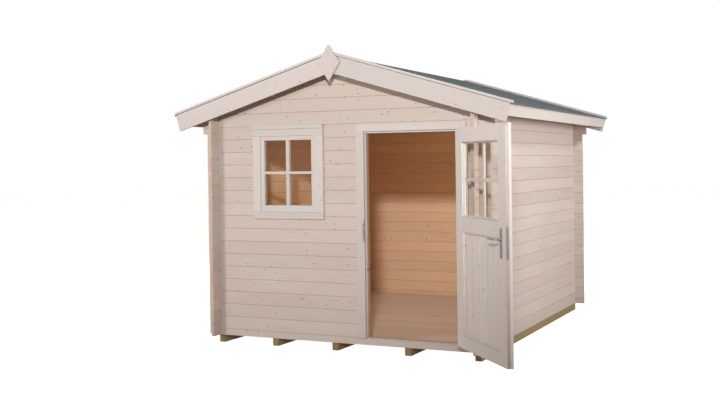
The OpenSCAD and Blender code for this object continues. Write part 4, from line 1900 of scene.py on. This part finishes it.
LAMPS = (
    Lamp(
        "key", place=Vector((4.106, -8.3, 3.76)), target=Vector((0.0, -1.3, 2.8)),
        size=0.5, power=2560.0, cone=54.0),
    Lamp(
        "right", place=Vector((7.0, -0.7, 1.9)), target=Vector((1.3, 0.2, 2.5)),
        size=1.8, power=1290.0, cone=90.0),
    Lamp(
        "side", place=Vector((-7.5, 1.5, 3.0)), target=Vector((-1.3, 0.0, 1.4)),
        size=3.0, power=420.0, seen=False),
    Lamp(
        "back", place=Vector((-1.5, 7.5, 3.0)), target=Vector((-0.2, 1.3, 1.4)),
        size=3.0, power=420.0, seen=False),
    Lamp(
        "left", place=Vector((-3.2, -5.2, 2.0)), target=Vector((1.6, -1.8, 0.3)),
        size=1.6, power=115.0, seen=False),
    Lamp(
        "room", place=Vector((0.4, -0.6, 1.9)), target=Vector((0.0, 0.9, 0.5)),
        size=0.7, power=9.8, colour=(1.0, 0.72, 0.51, 1.0), seen=False),
)


@dataclass
class Studio:
    """Camera, lamps, floor and white surroundings."""

    eye: Vector = field(default_factory=lambda: Vector((4.1238, -7.6712, 1.6087)))
    turn: tuple[float, float, float] = (-0.0061, 0.0121, 0.3629)
    focal: float = 862.5
    centre: tuple[float, float] = (517.5, 167.0)
    size: tuple[int, int] = (720, 405)
    fill: float = 0.11
    bounce: float = 0.25
    shade: Colour = (1.0, 0.78, 0.62, 1.0)
    floor_reach: float = 40.0

    def camera(self) -> None:
        """Sets the camera: eye and turn in the object's frame, focal length and centre in pixels."""
        width, height = self.size
        data = bpy.data.cameras.new("camera")
        data.sensor_fit = "HORIZONTAL"
        data.sensor_width = 36.0
        data.lens = self.focal / width * data.sensor_width
        data.shift_x = (width / 2 - self.centre[0]) / width
        data.shift_y = (self.centre[1] - height / 2) / width
        data.clip_end = 200.0
        camera = bpy.data.objects.new("camera", data)
        rx, ry, rz = self.turn
        level = Matrix.Rotation(rz, 3, "Z") @ Matrix.Rotation(rx, 3, "X")
        turned = level @ Matrix.Rotation(ry, 3, "Y")
        right, forward, up = (turned.col[i] for i in range(3))
        axes = Matrix((right, up, -forward)).transposed()
        camera.matrix_world = Matrix.Translation(self.eye) @ axes.to_4x4()
        bpy.context.scene.collection.objects.link(camera)
        bpy.context.scene.camera = camera

    def surroundings(self) -> None:
        """Shows white behind the house, and fills its shade with a warm glow, more so from below."""
        world = bpy.data.worlds.new("studio")
        world.use_nodes = True
        bpy.context.scene.world = world
        s = Shader(world.node_tree)
        path = s.node("ShaderNodeLightPath")
        seen = s.signal(path, "Is Camera Ray").larger(s.signal(path, "Is Glossy Ray"))
        seen = seen.larger(s.signal(path, "Is Transmission Ray"))
        _, _, up = s.split(s.place())
        glow = self.fill + (up < 0.0) * self.bounce
        back = s.node("ShaderNodeBackground", None, {
            "Color": s.mix(seen, self.shade, WHITE), "Strength": glow + seen * (1 - glow)})
        s.node("ShaderNodeOutputWorld", None, {"Surface": s.signal(back)})

    def floor(self) -> None:
        """Lays the floor."""
        shape = bmesh.new()
        bmesh.ops.create_grid(shape, x_segments=8, y_segments=8, size=self.floor_reach)
        floor = write_mesh("studio_floor", shape)
        floor.data.materials.append(Ground().build())
        floor.visible_diffuse = False

    def build(self) -> None:
        """Sets up the studio."""
        bpy.context.scene.view_settings.view_transform = "Standard"
        bpy.context.scene.cycles.caustics_reflective = False
        self.camera()
        self.surroundings()
        self.floor()
        for lamp in LAMPS:
            lamp.build()


def main() -> None:
    """Builds the studio and the house, piece by piece."""
    logging.basicConfig(level=logging.INFO, format="%(name)s %(message)s")
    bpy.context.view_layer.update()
    Studio().build()
    kit = Kit(Finishes.build(), BoardRow(), Fixings())
    for part in (Foundation(), Floor(), LogWalls(), Roof(), Doorway(), DoorLeaf(), Window()):
        log.info("building %s", type(part).__name__)
        part.build(kit)


if __name__ == "__main__":
    main()
